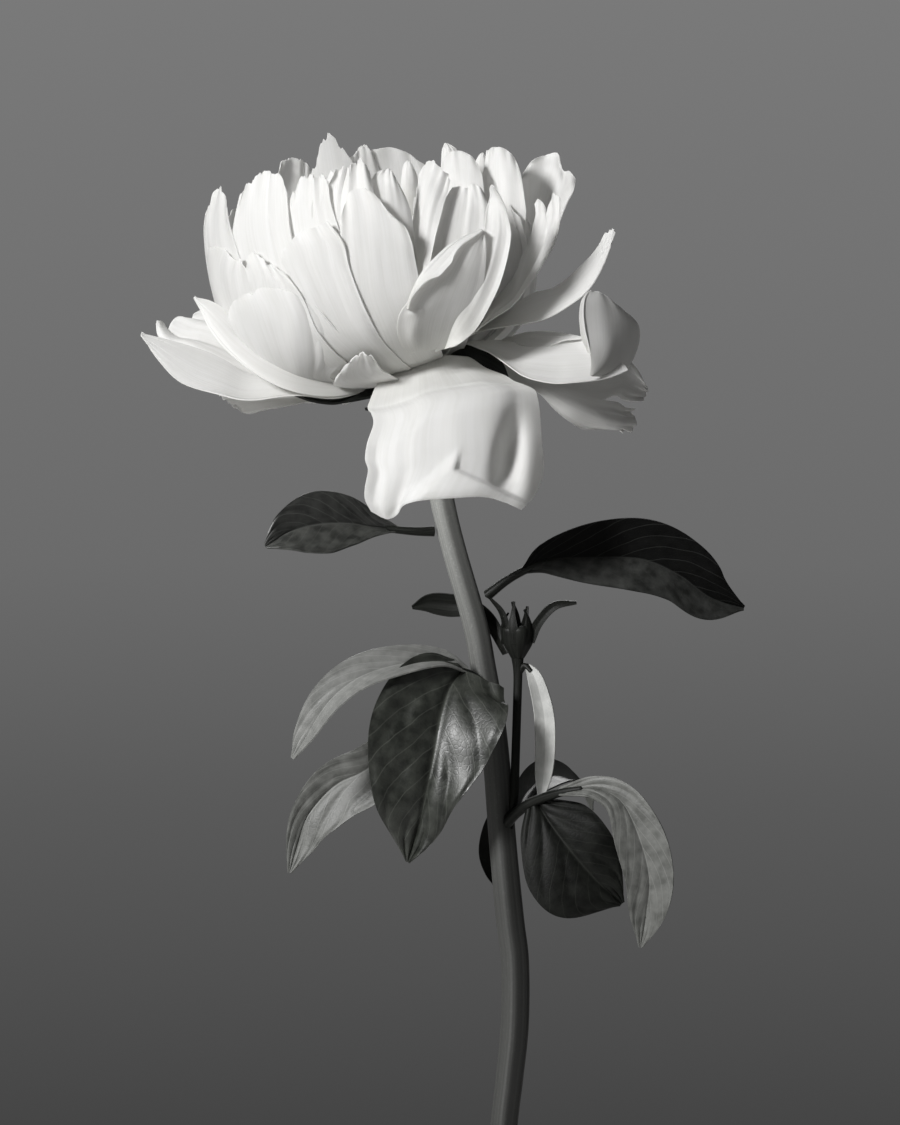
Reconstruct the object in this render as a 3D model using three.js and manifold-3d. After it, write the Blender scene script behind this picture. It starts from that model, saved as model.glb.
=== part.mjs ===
// A white double peony with its side bud and leaves, standing in a plain glazed bud vase with water.
// Millimetres, +Z up. The origin is the middle of the vase's foot, +X is right and -Y is the front.
import * as THREE from "three";
import { mergeVertices } from "three/addons/utils/BufferGeometryUtils.js";
import Module from "manifold-3d";

const wasm = await Module();
wasm.setup();

// Driving dimensions.
const vaseHeight = 200;
const wall = 3.6;
const floorThickness = 7;
const throatRadius = 7.5;
const waterLevel = 112;
const vaseSides = 24;
const heartSides = 12; // of the bloom's middle and the receptacle under it
const gap = 0.35; // between one piece and the next
const bladeThickness = 0.7; // petals and leaves
const sepalThickness = 0.9;
const bloomBase = new THREE.Vector3(-22.9, 0, 450.2); // where the petals meet the stem
const bloomTilt = THREE.MathUtils.degToRad(12); // the bloom leans to the left
const randomSeed = 7;

// The bloom's own directions: its axis, its right and its front.
const bloomAxis = new THREE.Vector3(-Math.sin(bloomTilt), 0, Math.cos(bloomTilt));
const bloomRight = new THREE.Vector3(Math.cos(bloomTilt), 0, Math.sin(bloomTilt));
const front = new THREE.Vector3(0, -1, 0);

// The main stem's middle line from the vase's floor up to the bloom: x, y, z, radius.
const stemLine = [
  [-2, 0, floorThickness + gap, 4.0],
  [-0.8, 0, 60, 4.0],
  [0.2, 0, 120, 4.05],
  [1.6, 0, 160, 4.1],
  [3.0, 0, 188, 4.1],
  [4.0, 0, 208, 4.15],
  [5.6, 0, 222, 4.2],
  [7.4, 0, 240, 4.3],
  [7.5, 0, 260, 4.3],
  [5.9, 0, 274, 4.3],
  [3.6, 0, 298, 4.2],
  [1.6, 0, 324, 4.1],
  [-0.2, 0, 340, 4.0],
  [-2.6, 0, 354, 3.9],
  [-5.2, 0, 368, 3.8],
  [-12, 0, 392, 3.7],
  [-15.6, 0, 407, 3.7],
  [-19.2, 0, 427, 3.9],
  [-22.2, 0, 444, 5.0],
];

// The side shoot's middle line, from the stem up to its bud.
const shootLine = [
  [4.6, -1, 298, 1.5],
  [7.0, -2, 312, 1.5],
  [7.6, -2, 325, 1.4],
  [8.2, -2, 344, 1.4],
  [8.4, -2, 353, 1.5],
  [8.2, -2, 361, 2.2],
];

const radians = THREE.MathUtils.degToRad;

// A smooth row of numbers at a share of the way, 0 to 1, along a list of rows.
function along(rows, share) {
  const spans = rows.length - 1;
  const place = THREE.MathUtils.clamp(share, 0, 1) * spans;
  const first = Math.min(spans - 1, Math.floor(place));
  const part = place - first;
  return rows[0].map((_, k) => {
    const b = rows[first][k];
    const c = rows[first + 1][k];
    const a = first > 0 ? rows[first - 1][k] : 2 * b - c;
    const d = first + 2 <= spans ? rows[first + 2][k] : 2 * c - b;
    const bend = (2 * a - 5 * b + 4 * c - d) * part ** 2 + (3 * b - a - 3 * c + d) * part ** 3;
    return 0.5 * (2 * b + (c - a) * part + bend);
  });
}

// A closed geometry as a solid for joining and cutting.
function solid(geometry) {
  geometry.deleteAttribute("normal");
  geometry.deleteAttribute("uv");
  const merged = mergeVertices(geometry, 1e-4);
  const vertProperties = new Float32Array(merged.attributes.position.array);
  const triVerts = new Uint32Array(merged.index.array);
  return new wasm.Manifold(new wasm.Mesh({ numProp: 3, vertProperties, triVerts }));
}

function closed(points, faces) {
  const geometry = new THREE.BufferGeometry();
  geometry.setAttribute("position", new THREE.Float32BufferAttribute(points, 3));
  geometry.setIndex(faces);
  return solid(geometry);
}

const join = (solids) => solids.reduce((whole, one) => whole.add(one));

// The largest piece of a join, without the small hollows and scraps that crossings leave.
function wholePiece(joined) {
  const pieces = joined.decompose();
  return pieces.reduce((largest, one) => (one.volume() > largest.volume() ? one : largest));
}

// A sheet of points, row by row, as a solid of even thickness.
function thicken(sheet, thickness) {
  const rows = sheet.length;
  const columns = sheet[0].length;
  const points = [];
  for (const side of [0.5, -0.5]) {
    for (let r = 0; r < rows; r += 1) {
      for (let c = 0; c < columns; c += 1) {
        const across = sheet[r][Math.min(c + 1, columns - 1)].clone().sub(sheet[r][Math.max(c - 1, 0)]);
        const onward = sheet[Math.min(r + 1, rows - 1)][c].clone().sub(sheet[Math.max(r - 1, 0)][c]);
        const normal = across.cross(onward).normalize();
        points.push(...sheet[r][c].clone().addScaledVector(normal, side * thickness));
      }
    }
  }
  const back = rows * columns;
  const faces = [];
  for (let r = 0; r < rows - 1; r += 1) {
    for (let c = 0; c < columns - 1; c += 1) {
      const a = r * columns + c;
      const b = a + 1;
      const d = b + columns;
      const e = a + columns;
      faces.push(a, b, d, a, d, e);
      faces.push(back + a, back + d, back + b, back + a, back + e, back + d);
    }
  }
  const rim = [];
  for (let c = 0; c < columns - 1; c += 1) rim.push(c);
  for (let r = 0; r < rows - 1; r += 1) rim.push(r * columns + columns - 1);
  for (let c = columns - 1; c > 0; c -= 1) rim.push((rows - 1) * columns + c);
  for (let r = rows - 1; r > 0; r -= 1) rim.push(r * columns);
  rim.forEach((a, k) => {
    const b = rim[(k + 1) % rim.length];
    faces.push(b, a, back + a, b, back + a, back + b);
  });
  return closed(points, faces);
}

// A petal or leaf blade. Its stations run from root to tip: x, y, z, then its reach to the left and to the
// right. facing is where its upper side looks, and fold and curl bend its halves towards that side.
function blade(stations, shape = {}) {
  const { facing = [0, -1, 0], tipFacing = facing, across, fold = 0, columns = 5, rows = 6 } = shape;
  const { curl = 0, curlLeft = curl, curlRight = curl, ends, wave = 0, waves = 2 } = shape;
  const { thickness = bladeThickness, grow = 0, turn = 0, spread = 1 } = shape;
  const steps = 48;
  const spine = [];
  const lengths = [0];
  spine.push(along(stations, 0));
  for (let k = 1; k <= steps; k += 1) {
    spine.push(along(stations, k / steps));
    const stride = [0, 1, 2].map((n) => spine[k][n] - spine[k - 1][n]);
    lengths.push(lengths[k - 1] + Math.hypot(...stride));
  }
  const placeAt = (share) => {
    const target = share * lengths[steps];
    let k = 1;
    while (k < steps && lengths[k] < target) k += 1;
    const part = (target - lengths[k - 1]) / (lengths[k] - lengths[k - 1]);
    const stride = spine[k].map((value, n) => value - spine[k - 1][n]);
    const [x, y, z, left, right] = stride.map((value, n) => spine[k - 1][n] + value * part);
    const onward = new THREE.Vector3(...stride.slice(0, 3)).normalize();
    return { middle: new THREE.Vector3(x, y, z), left, right, onward };
  };
  const sheet = [];
  for (let r = 0; r < rows; r += 1) {
    const row = [];
    for (let c = 0; c < columns; c += 1) {
      const even = (2 * c) / (columns - 1) - 1;
      const u = Math.sign(even) * Math.abs(even) ** spread;
      const end = ends ? along(ends.map((value) => [value]), (u + 1) / 2)[0] : 1;
      const share = (r / (rows - 1)) * end;
      const { middle, left, right, onward } = placeAt(share);
      const side = new THREE.Vector3();
      if (across) {
        side.copy(across(share));
        side.addScaledVector(onward, -side.dot(onward)).normalize();
      } else {
        const look = new THREE.Vector3(...facing).lerp(new THREE.Vector3(...tipFacing), share);
        side.crossVectors(onward, look).normalize();
      }
      const upper = new THREE.Vector3().crossVectors(side, onward);
      side.applyAxisAngle(onward, radians(-turn));
      upper.applyAxisAngle(onward, radians(-turn));
      const reach = (u < 0 ? left : right) + grow;
      const bend = u < 0 ? curlLeft : curlRight;
      const parts = 8;
      let outward = 0;
      let lifted = wave * u * u * Math.sin(2 * Math.PI * (waves * share + (u < 0 ? 0.37 : 0)));
      for (let k = 0; k < parts; k += 1) {
        const angle = radians(fold + (bend * Math.abs(u) * (k + 0.5)) / parts);
        outward += (Math.cos(angle) * reach * Math.abs(u)) / parts;
        lifted += (Math.sin(angle) * reach * Math.abs(u)) / parts;
      }
      row.push(middle.addScaledVector(side, outward * Math.sign(u)).addScaledVector(upper, lifted));
    }
    sheet.push(row);
  }
  return thicken(sheet, thickness + 2 * grow);
}

// A petal that grows from the bloom's base. Heading 0 is the front and 90 the right, in degrees. Reach and
// rise are its tip's distance from the bloom's axis and over its base. It leaves the base and arrives at the
// tip at those slopes, in degrees, and crown is how much its edge falls away to the sides.
function petal(shape) {
  const { heading, swing = 0, root = 6, base = 0, reach, rise, leave = 5, arrive = 95, half } = shape;
  const { cup = THREE.MathUtils.radToDeg(half / reach), foot = 0.28, widest = 0.62 } = shape;
  const { shoulder = 0.2, crown = 0.24, peak = 2.4, skew = 0 } = shape;
  const start = new THREE.Vector2(root, base);
  const end = new THREE.Vector2(reach, rise);
  const span = start.distanceTo(end);
  const slope = (angle) => new THREE.Vector2(Math.cos(radians(angle)), Math.sin(radians(angle)));
  const afterStart = start.clone().addScaledVector(slope(leave), 0.5 * span);
  const beforeEnd = end.clone().addScaledVector(slope(arrive), -0.45 * span);
  const curve = new THREE.CubicBezierCurve(start, afterStart, beforeEnd, end);
  const headingAt = (share) => radians(heading + swing * share * share);
  const stations = [];
  const stationCount = 8;
  for (let k = 0; k <= stationCount; k += 1) {
    const share = k / stationCount;
    const away = curve.getPoint(share);
    const direction = bloomRight.clone().multiplyScalar(Math.sin(headingAt(share)));
    direction.addScaledVector(front, Math.cos(headingAt(share)));
    const place = bloomBase.clone().addScaledVector(direction, away.x).addScaledVector(bloomAxis, away.y);
    const opening = Math.sin((Math.PI / 2) * Math.min(1, share / widest)) ** 1.3;
    const closing = Math.max(0, (share - widest) / (1 - widest)) ** 2;
    const width = half * (foot + (1 - foot) * opening - shoulder * closing);
    stations.push([...place, width, width]);
  }
  const across = (share) => {
    const sideways = bloomRight.clone().multiplyScalar(Math.cos(headingAt(share)));
    return sideways.addScaledVector(front, -Math.sin(headingAt(share)));
  };
  const ends = [-1, -0.75, -0.5, -0.25, 0, 0.25, 0.5, 0.75, 1].map(
    (u) => 1 - crown * (Math.abs(u - skew) / (1 + Math.abs(skew))) ** peak,
  );
  return blade(stations, { columns: 4, rows: 5, spread: 0.4, ...shape, across, curl: cup, ends });
}

// A round stalk along a line of x, y, z, radius, with low ribs.
function stalk(line, { sides = 8, steps = 8, ribs = 0, grow = 0, facing = front } = {}) {
  const ribHeight = 0.05;
  const rings = [];
  for (let k = 0; k <= steps; k += 1) rings.push(along(line, k / steps));
  const points = [];
  rings.forEach(([x, y, z, radius], k) => {
    const before = rings[Math.max(0, k - 1)];
    const after = rings[Math.min(steps, k + 1)];
    const onward = new THREE.Vector3(...[0, 1, 2].map((n) => after[n] - before[n])).normalize();
    const side = new THREE.Vector3().crossVectors(onward, facing).normalize();
    const forward = new THREE.Vector3().crossVectors(side, onward);
    for (let n = 0; n < sides; n += 1) {
      const angle = (2 * Math.PI * n) / sides;
      const size = radius * (1 + ribHeight * Math.cos(ribs * angle) * Math.sign(ribs)) + grow;
      const point = new THREE.Vector3(x, y, z).addScaledVector(side, size * Math.cos(angle));
      points.push(...point.addScaledVector(forward, size * Math.sin(angle)));
    }
  });
  points.push(...rings[0].slice(0, 3), ...rings[steps].slice(0, 3));
  const bottom = rings.length * sides;
  const faces = [];
  for (let n = 0; n < sides; n += 1) {
    const next = (n + 1) % sides;
    for (let k = 0; k < steps; k += 1) {
      const low = k * sides;
      const high = low + sides;
      faces.push(low + n, high + n, high + next, low + n, high + next, low + next);
    }
    faces.push(bottom, n, next, bottom + 1, steps * sides + next, steps * sides + n);
  }
  return closed(points, faces);
}

// A round body standing in the bloom's own frame, from an outline of distance from the axis and height.
function turnedOnBloom(outline, sides) {
  const points = outline.map(([away, height]) => new THREE.Vector2(away, height));
  const geometry = new THREE.LatheGeometry(points, sides);
  geometry.rotateX(Math.PI / 2);
  geometry.rotateY(-bloomTilt);
  geometry.translate(...bloomBase);
  return solid(geometry);
}

// Vase: a bottle with a round belly, a narrow neck and a small flared lip. Heights and outer radii.
const vaseSide = [
  [0, 33],
  [3, 35.5],
  [25, 43],
  [55, 47],
  [90, 41],
  [118, 26],
  [140, 14.6],
  [162, 11.6],
  [186, throatRadius + wall],
  [vaseHeight - 1.5, 15],
];
const vaseSideAt = (share) => along(vaseSide, share);
const vaseSteps = 12;
const insideStart = floorThickness + 3; // the height over which the inside follows the outside

function vaseOutline() {
  const outer = [];
  const inner = [];
  for (let k = 0; k <= vaseSteps; k += 1) {
    const [height, radius] = vaseSideAt(k / vaseSteps);
    outer.push([radius, height]);
    if (height > insideStart) inner.unshift([radius - wall, height]);
  }
  const lip = [[14.4, vaseHeight], [13.2, vaseHeight + 0.2]];
  const floorCorner = [[31, floorThickness + 1.4], [27, floorThickness]];
  return [[0, 0], ...outer, ...lip, ...inner, ...floorCorner, [0, floorThickness]];
}

function makeVase() {
  const points = vaseOutline().map(([radius, height]) => new THREE.Vector2(radius, height));
  return solid(new THREE.LatheGeometry(points, vaseSides).rotateX(Math.PI / 2));
}

function makeWater() {
  const outline = [[0, floorThickness + gap], [26.7, floorThickness + gap], [30.4, floorThickness + 1.9]];
  for (let k = 1; k < vaseSteps; k += 1) {
    const [height, radius] = vaseSideAt(k / vaseSteps);
    if (height > insideStart && height < waterLevel) outline.push([radius - wall - gap, height]);
  }
  outline.push([25, waterLevel], [0, waterLevel]);
  const points = outline.map(([radius, height]) => new THREE.Vector2(radius, height));
  const body = solid(new THREE.LatheGeometry(points, vaseSides).rotateX(Math.PI / 2));
  return body.subtract(stemBody(gap));
}

function stemBody(grow = 0) {
  const line = grow > 0 ? [[-2, 0, 0, 4], ...stemLine.slice(1)] : stemLine;
  return stalk(line, { sides: 10, steps: 24, ribs: 5, grow });
}

// The receptacle at the stem's top and the green sepals under the petals.
const sepals = [
  { heading: -62, root: 5, base: -7, reach: 43, rise: -3, leave: -12, arrive: 14, half: 9, cup: 20 },
  { heading: 24, root: 5, base: -7, reach: 25, rise: -9, leave: -8, arrive: -6, half: 8, cup: 14 },
  { heading: 98, root: 5, base: -7, reach: 34, rise: -12, leave: -14, arrive: -4, half: 8, cup: 14 },
  { heading: 168, root: 5, base: -7, reach: 34, rise: -10, leave: -14, arrive: 8, half: 9, cup: 18 },
  { heading: -130, root: 5, base: -7, reach: 36, rise: -10, leave: -14, arrive: 4, half: 8, cup: 18 },
];

function receptacle(grow = 0) {
  const top = -4 + grow;
  const lower = [[0, -13 - grow], [4 + grow, -12 - grow], [8.4 + grow, -8 - grow]];
  const upper = [[8.8 + grow, -6], [7 + grow, top], [0, top]];
  return turnedOnBloom([...lower, ...upper], heartSides);
}

function calyx(grow = 0) {
  const look = { rows: 5, columns: 4, crown: 0.6, peak: 1.5, thickness: sepalThickness, grow };
  return join([receptacle(grow), ...sepals.map((one) => petal({ ...look, ...one }))]);
}

const makeStem = () => wholePiece(join([stemBody(), calyx()]));
const stemSeat = () => join([stemBody(gap), calyx(gap)]);

// The side shoot with its closed bud and the narrow bracts round it.
const budMiddle = [8.2, -2, 364.6];
const budRadius = 5.4;
const budBracts = [
  [[5, -3, 362, 1.2, 1.2], [3.2, -4, 368, 1.3, 1.3], [1, -4, 375.5, 0.5, 0.5]],
  [[12, -3, 364, 1.6, 1.6], [16, -4, 371, 1.7, 1.7], [21, -5, 374.8, 1.2, 1.2], [27, -5, 375.4, 0.6, 0.6]],
  [[8, -2, 367, 1.8, 1.8], [7.8, -2, 371, 1.2, 1.2], [8, -2, 374.4, 0.5, 0.5]],
  [[10, -3, 367, 1.6, 1.6], [10.6, -3.4, 370, 1.1, 1.1], [11.2, -3.4, 372.6, 0.5, 0.5]],
];
const longBract = [
  [5, 0, 359, 1.6, 1.6],
  [-0.5, 5.5, 369, 2.4, 2.4],
  [-7, 7.5, 373.5, 3.4, 3.2],
  [-13.5, 8.5, 374.5, 4.2, 3.6],
  [-20, 8.5, 375, 3.4, 3],
  [-25.5, 7.5, 373.5, 0.5, 0.5],
];

function shootBody(grow = 0) {
  const bud = new THREE.SphereGeometry(budRadius + grow, 10, 8);
  bud.rotateX(Math.PI / 2).translate(...budMiddle);
  return stalk(shootLine, { steps: 6, grow }).add(solid(bud));
}

function makeSideShoot() {
  const pieces = [shootBody()];
  const bractShape = { columns: 3, rows: 5, fold: 14, thickness: sepalThickness };
  pieces.push(...budBracts.map((bract) => blade(bract, bractShape)));
  pieces.push(blade(longBract, { columns: 3, rows: 7, fold: 12, curl: 20 }));
  return wholePiece(join(pieces).subtract(stemBody(gap)));
}

// Leaves: each has its petiole line and its blades, named by the side and the height at which they grow.
const leaves = {
  upperLeftLeaf: {
    colour: 0x3f4a3a,
    petioles: [[[-18, 0, 398, 1.7], [-24.5, -1, 398, 1.4], [-34, -1.6, 398.8, 1.1]]],
    blades: [
      {
        stations: [
          [-30.5, -1, 398.5, 1.2, 1.2],
          [-38, -2, 399.5, 5, 4.6],
          [-46.5, -5, 400.5, 11, 9],
          [-56, -8, 400, 15, 10.5],
          [-64.5, -11, 397.5, 12, 7],
          [-71.5, -13, 393, 0.8, 0.8],
        ],
        facing: [0, -1, 0.25],
        fold: 12,
        curlLeft: 45,
        curlRight: 15,
      },
    ],
  },
  upperRightLeaf: {
    colour: 0x23291f,
    petioles: [[[-2, 0, 377, 1.8], [4.5, -2, 382, 1.4], [10.5, -4, 385.5, 1.3], [18, -5.6, 388.6, 1]]],
    blades: [
      {
        stations: [
          [10.5, -4, 385.5, 1.2, 1.2],
          [18, -6, 389, 6, 5.5],
          [31, -9, 389.5, 10.5, 9.5],
          [47, -11, 389, 12.5, 12],
          [59, -11, 384, 11.5, 10],
          [69, -9, 377, 8, 8.5],
          [80, -6, 373.5, 0.8, 0.8],
        ],
        facing: [0, -1, 0.1],
        fold: 14,
        curl: 14,
        rows: 8,
      },
    ],
  },
  middleLeftLeaf: {
    colour: 0x4a5245,
    petioles: [[[-2.5, -1, 347, 2], [-6, -6, 351.5, 1.8], [-10.5, -9.5, 353.5, 1.5]]],
    blades: [
      {
        stations: [
          [-8, -8, 353.5, 1.3, 1.3],
          [-16.5, -13, 357, 4, 4],
          [-29, -18, 356, 6.6, 6.2],
          [-41.5, -21, 352, 7.2, 7],
          [-51, -22, 344.5, 6.8, 6.5],
          [-58, -21, 334, 4.6, 4.5],
          [-62.5, -20, 326.5, 0.6, 0.6],
        ],
        facing: [0.1, -0.75, 0.6],
        tipFacing: [-0.5, -0.8, 0.2],
        fold: 20,
        curl: 20,
      },
      {
        stations: [
          [-9.5, -9, 354, 15, 5],
          [-13.5, -14, 348, 20, 17],
          [-16.5, -18, 338, 21, 22],
          [-18.5, -20, 326.5, 17, 22],
          [-21, -20, 314, 10, 18],
          [-23.5, -18, 304, 7, 11],
          [-26.5, -15, 294, 0.6, 0.6],
        ],
        fold: 12,
        curl: 14,
        wave: 1.2,
        waves: 3,
        columns: 7,
        rows: 9,
      },
      {
        stations: [
          [-9, -7.5, 353.5, 1.5, 1.5],
          [-18, -3, 340, 5, 5],
          [-38.5, 6, 322.5, 11, 8],
          [-50.5, 8, 316, 12, 8],
          [-59, 8, 306.5, 10, 6],
          [-62.5, 8, 297, 6, 4],
          [-65, 7, 288, 0.6, 0.6],
        ],
        fold: 12,
        curl: 14,
      },
    ],
  },
  narrowLeaf: {
    colour: 0x565e50,
    petioles: [[[8.4, -2, 352.5, 1.2], [10.5, -2.6, 355, 1.1], [12.8, -4, 353, 0.9]]],
    blades: [
      {
        stations: [
          [11.5, -3, 355, 1, 1],
          [14, -5, 350.5, 2.6, 2.6],
          [16.5, -6, 340.5, 3.3, 3.3],
          [17, -6, 330, 3.4, 3.4],
          [16.5, -5, 320.5, 2.8, 2.8],
          [15.5, -4, 311.5, 0.6, 0.6],
        ],
        fold: 10,
        curl: 20,
      },
    ],
  },
  lowerRightLeaf: {
    colour: 0x2f362b,
    petioles: [
      [
        [3, -1, 303, 2.2],
        [8, -5, 308.5, 1.8],
        [14, -9, 312.5, 1.6],
        [22, -14, 315.5, 1.3],
        [29, -17.5, 317, 1],
      ],
      [[10, -6.5, 310, 1.5], [12, 2, 313, 1.3], [16, 16, 316.5, 1]],
    ],
    blades: [
      {
        stations: [
          [9.5, 2, 309.5, 1.5, 1.5],
          [14, 12, 315, 6, 6],
          [21.5, 22, 318, 8, 8],
          [29, 32, 314, 7, 7],
          [34, 41, 305.5, 0.6, 0.6],
        ],
        facing: [0, -0.6, 0.8],
        fold: 10,
        curl: 15,
      },
      {
        stations: [
          [14.5, -8.5, 311.5, 3.5, 4.5],
          [19, -11, 304.5, 12, 12],
          [26, -13, 295.5, 13.5, 18],
          [33.5, -12, 287, 10, 16],
          [41, -9, 280, 1, 1],
        ],
        fold: 8,
        curl: -14,
        wave: 0.8,
        rows: 8,
      },
      {
        stations: [
          [21.5, -14, 315.5, 1.5, 1.5],
          [32, -19, 317, 4, 4],
          [40.5, -22, 313, 6, 6],
          [46, -24, 301.5, 8.5, 8.5],
          [49, -24, 289, 8, 8],
          [48, -22, 277.5, 6, 5.5],
          [46.5, -20, 267.5, 0.6, 0.6],
        ],
        facing: [-0.2, -1, 0.5],
        tipFacing: [0, -1, 0],
        fold: 14,
        curl: 14,
        rows: 8,
      },
    ],
  },
  lowerBackLeaf: {
    colour: 0x2f362b,
    petioles: [[[3.4, 1, 303, 1.6], [3.6, 5, 309, 1.4], [2.6, 8, 308, 1]]],
    blades: [
      {
        stations: [
          [3.6, 7, 309.6, 1, 1],
          [1, 9, 304, 3, 3],
          [-0.5, 11, 295, 3.6, 3.6],
          [0.5, 11, 288, 2.6, 2.6],
          [2.5, 10, 282.5, 0.5, 0.5],
        ],
        fold: 10,
        curl: 10,
      },
    ],
  },
};

function makeLeaf({ petioles, blades }) {
  const pieces = petioles.map((line) => stalk(line, { sides: 7, steps: 4 }));
  pieces.push(...blades.map(({ stations, ...shape }) => blade(stations, shape)));
  return join(pieces);
}

// Petals seen in front, each with its own place: the wide guard petals at the left, the petals of the cup,
// then the guard petals at the right.
const pointed = { crown: 0.8, peak: 1.4, columns: 5, spread: 0.7 };
const drooping = { root: 8, half: 19, cup: 15, turn: 25 };
const cupPetal = { root: 7, foot: 0.38, turn: 8 };
const frontPetals = [
  { heading: -60, root: 8, reach: 55, rise: 30, leave: -11, half: 38, foot: 0.36, widest: 0.7 },
  { ...pointed, heading: -80, root: 8, base: -1.5, reach: 68, rise: 37, leave: -15, arrive: 66, half: 25 },
  { ...pointed, heading: -70, root: 8, base: -3, reach: 89, rise: 27, leave: -18, arrive: 40, half: 29 },
  { heading: -100, root: 8, base: -2.2, reach: 80, rise: 33, leave: -14, arrive: 60, half: 24 },
  { heading: -122, root: 8, base: -4, reach: 77, rise: 6, leave: -19, arrive: 24, half: 22, crown: 0.3 },
  { ...cupPetal, heading: -34, reach: 49, rise: 47, leave: -4, half: 25, crown: 0.4, peak: 2, skew: 0.3 },
  { ...cupPetal, heading: -9, reach: 45, rise: 59, half: 19, crown: 0.4, peak: 2 },
  { ...cupPetal, heading: -50, reach: 48, rise: 69, leave: -2, arrive: 100, half: 22 },
  { ...cupPetal, heading: -75, reach: 55, rise: 66, leave: -5, arrive: 100, half: 19 },
  { ...cupPetal, heading: -100, reach: 62, rise: 58, leave: -8, arrive: 98, half: 20 },
  { ...cupPetal, heading: -69, reach: 62, rise: 48, leave: -12, half: 20 },
  { ...cupPetal, heading: -49, reach: 56, rise: 43, leave: -9, half: 15 },
  { ...cupPetal, heading: -33, reach: 42, rise: 67, arrive: 100, half: 19 },
  { ...cupPetal, heading: -8, reach: 38, rise: 66, leave: 12, arrive: 98, half: 20 },
  { ...cupPetal, heading: 11, reach: 41, rise: 60, leave: 6, half: 14 },
  { ...cupPetal, heading: 32, reach: 37, rise: 62, leave: 12, half: 16 },
  { ...cupPetal, heading: 88, reach: 62, rise: 51, leave: -5, arrive: 92, half: 18, foot: 0.28 },
  { ...drooping, heading: 88, base: -2, reach: 71, rise: -18, leave: -20, arrive: -8 },
  { ...drooping, heading: 62, base: -4, reach: 70, rise: -33, leave: -24, arrive: -35 },
];

// Petals at the back and the right, which the front ones partly hide.
const backPetals = [
  { heading: -146, reach: 53, rise: 83, half: 16, crown: 0.3 },
  { heading: -165, reach: 42, rise: 85, half: 13, crown: 0.6, peak: 1.4, columns: 5 },
  { heading: 174, reach: 43, rise: 80, arrive: 130, half: 24, cup: 60, crown: 0.25 },
  { heading: 161, reach: 45, rise: 80, half: 14, crown: 0.4 },
  { heading: 149, reach: 47, rise: 77, half: 15, crown: 0.4 },
  { heading: 126, reach: 54, rise: 69, half: 19, crown: 0.3 },
  { heading: 105, root: 7, reach: 58, rise: 63, leave: 0, arrive: 112, half: 20, crown: 0.3 },
];

// Wide guard petals round the back and rings of shorter petals inside the cup. step is the angle from one to
// the next, and vary is how far each may stray.
const petalRings = [
  { count: 3, first: 124, step: 56, reach: 72, rise: 14, leave: -20, arrive: 30, half: 26, vary: 2, turn: 7 },
  { count: 3, first: 136, step: 44, reach: 62, rise: 44, leave: -12, half: 21, vary: 1, turn: 7 },
  { count: 8, first: 12, step: 45, reach: 37, rise: 56, leave: 14, half: 15, vary: 1, turn: 9 },
  { count: 6, first: 0, step: 60, reach: 27, rise: 57, leave: 24, half: 14, vary: 1.5, turn: 9 },
  { count: 5, first: 20, step: 72, reach: 17, rise: 53, leave: 40, half: 11, vary: 1.5, turn: 9 },
  { count: 3, first: 40, step: 120, reach: 7, rise: 50, leave: 60, half: 7, vary: 1, turn: 9 },
];

// Petals with a shape of their own: the turned-in one at the front, the long and the upturned ones at the
// right, the one that hangs before the stem and a torn strip beside it.
const shapedPetals = [
  {
    stations: [
      [-19.5, -8, 451, 8, 8],
      [-15, -28, 458.5, 17, 14],
      [-9, -42, 471, 22, 15],
      [-3, -48, 486.5, 15, 11],
      [0, -47, 497, 7, 6],
      [-1, -44, 504, 1, 1],
    ],
    curl: 20,
  },
  {
    stations: [
      [-16.5, -3, 454, 5, 5],
      [0, -14, 461, 10, 8],
      [15, -20, 469, 11, 10],
      [27, -22, 476.5, 9, 8],
      [33.5, -20, 483.5, 5, 5],
      [38.5, -16, 492, 0.8, 0.8],
    ],
    facing: [-0.35, 0.38, 0.85],
    curl: 25,
  },
  {
    stations: [
      [-16.5, -8, 451.5, 6, 6],
      [0, -22, 447.5, 16, 14],
      [17.5, -32, 445, 22, 19],
      [31, -38, 449, 24, 20],
      [36.5, -38, 459, 21, 17],
      [35.5, -34, 470, 13, 10],
    ],
    facing: [-0.1, -0.36, 0.93],
    tipFacing: [-0.6, 0.75, 0.2],
    curl: 28,
  },
  {
    stations: [
      [-19.5, -6, 450, 10, 10],
      [-16, -24, 453.5, 20, 19],
      [-12, -44, 445.5, 29, 29],
      [-11.5, -56, 428, 31.5, 34],
      [-13.5, -56, 413, 31, 32],
      [-15, -50, 398.5, 29, 31],
    ],
    facing: [0, -0.6, 0.8],
    tipFacing: [0, -1, 0.1],
    curl: -62,
    ends: [0.86, 0.92, 0.9, 0.91, 0.92, 0.92, 0.97, 1, 0.92],
    columns: 7,
    rows: 7,
  },
  {
    stations: [
      [-30, -9, 447, 3, 3],
      [-38, -22, 445.5, 4, 4],
      [-41, -36, 447, 4, 4],
      [-44, -42, 450, 1, 1],
    ],
    columns: 3,
    rows: 4,
  },
];

// The packed middle of the bloom, which every petal grows from: distance from the axis and height.
const heart = [[0, -5], [9, -5], [26, 0], [36, 8], [40, 20], [36, 30], [24, 36], [0, 39]];

// Even random numbers from 0 to 1, the same on every run.
function randomNumbers(seed) {
  let state = seed;
  return () => {
    state = (state * 1664525 + 1013904223) % 4294967296;
    return state / 4294967296;
  };
}

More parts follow.
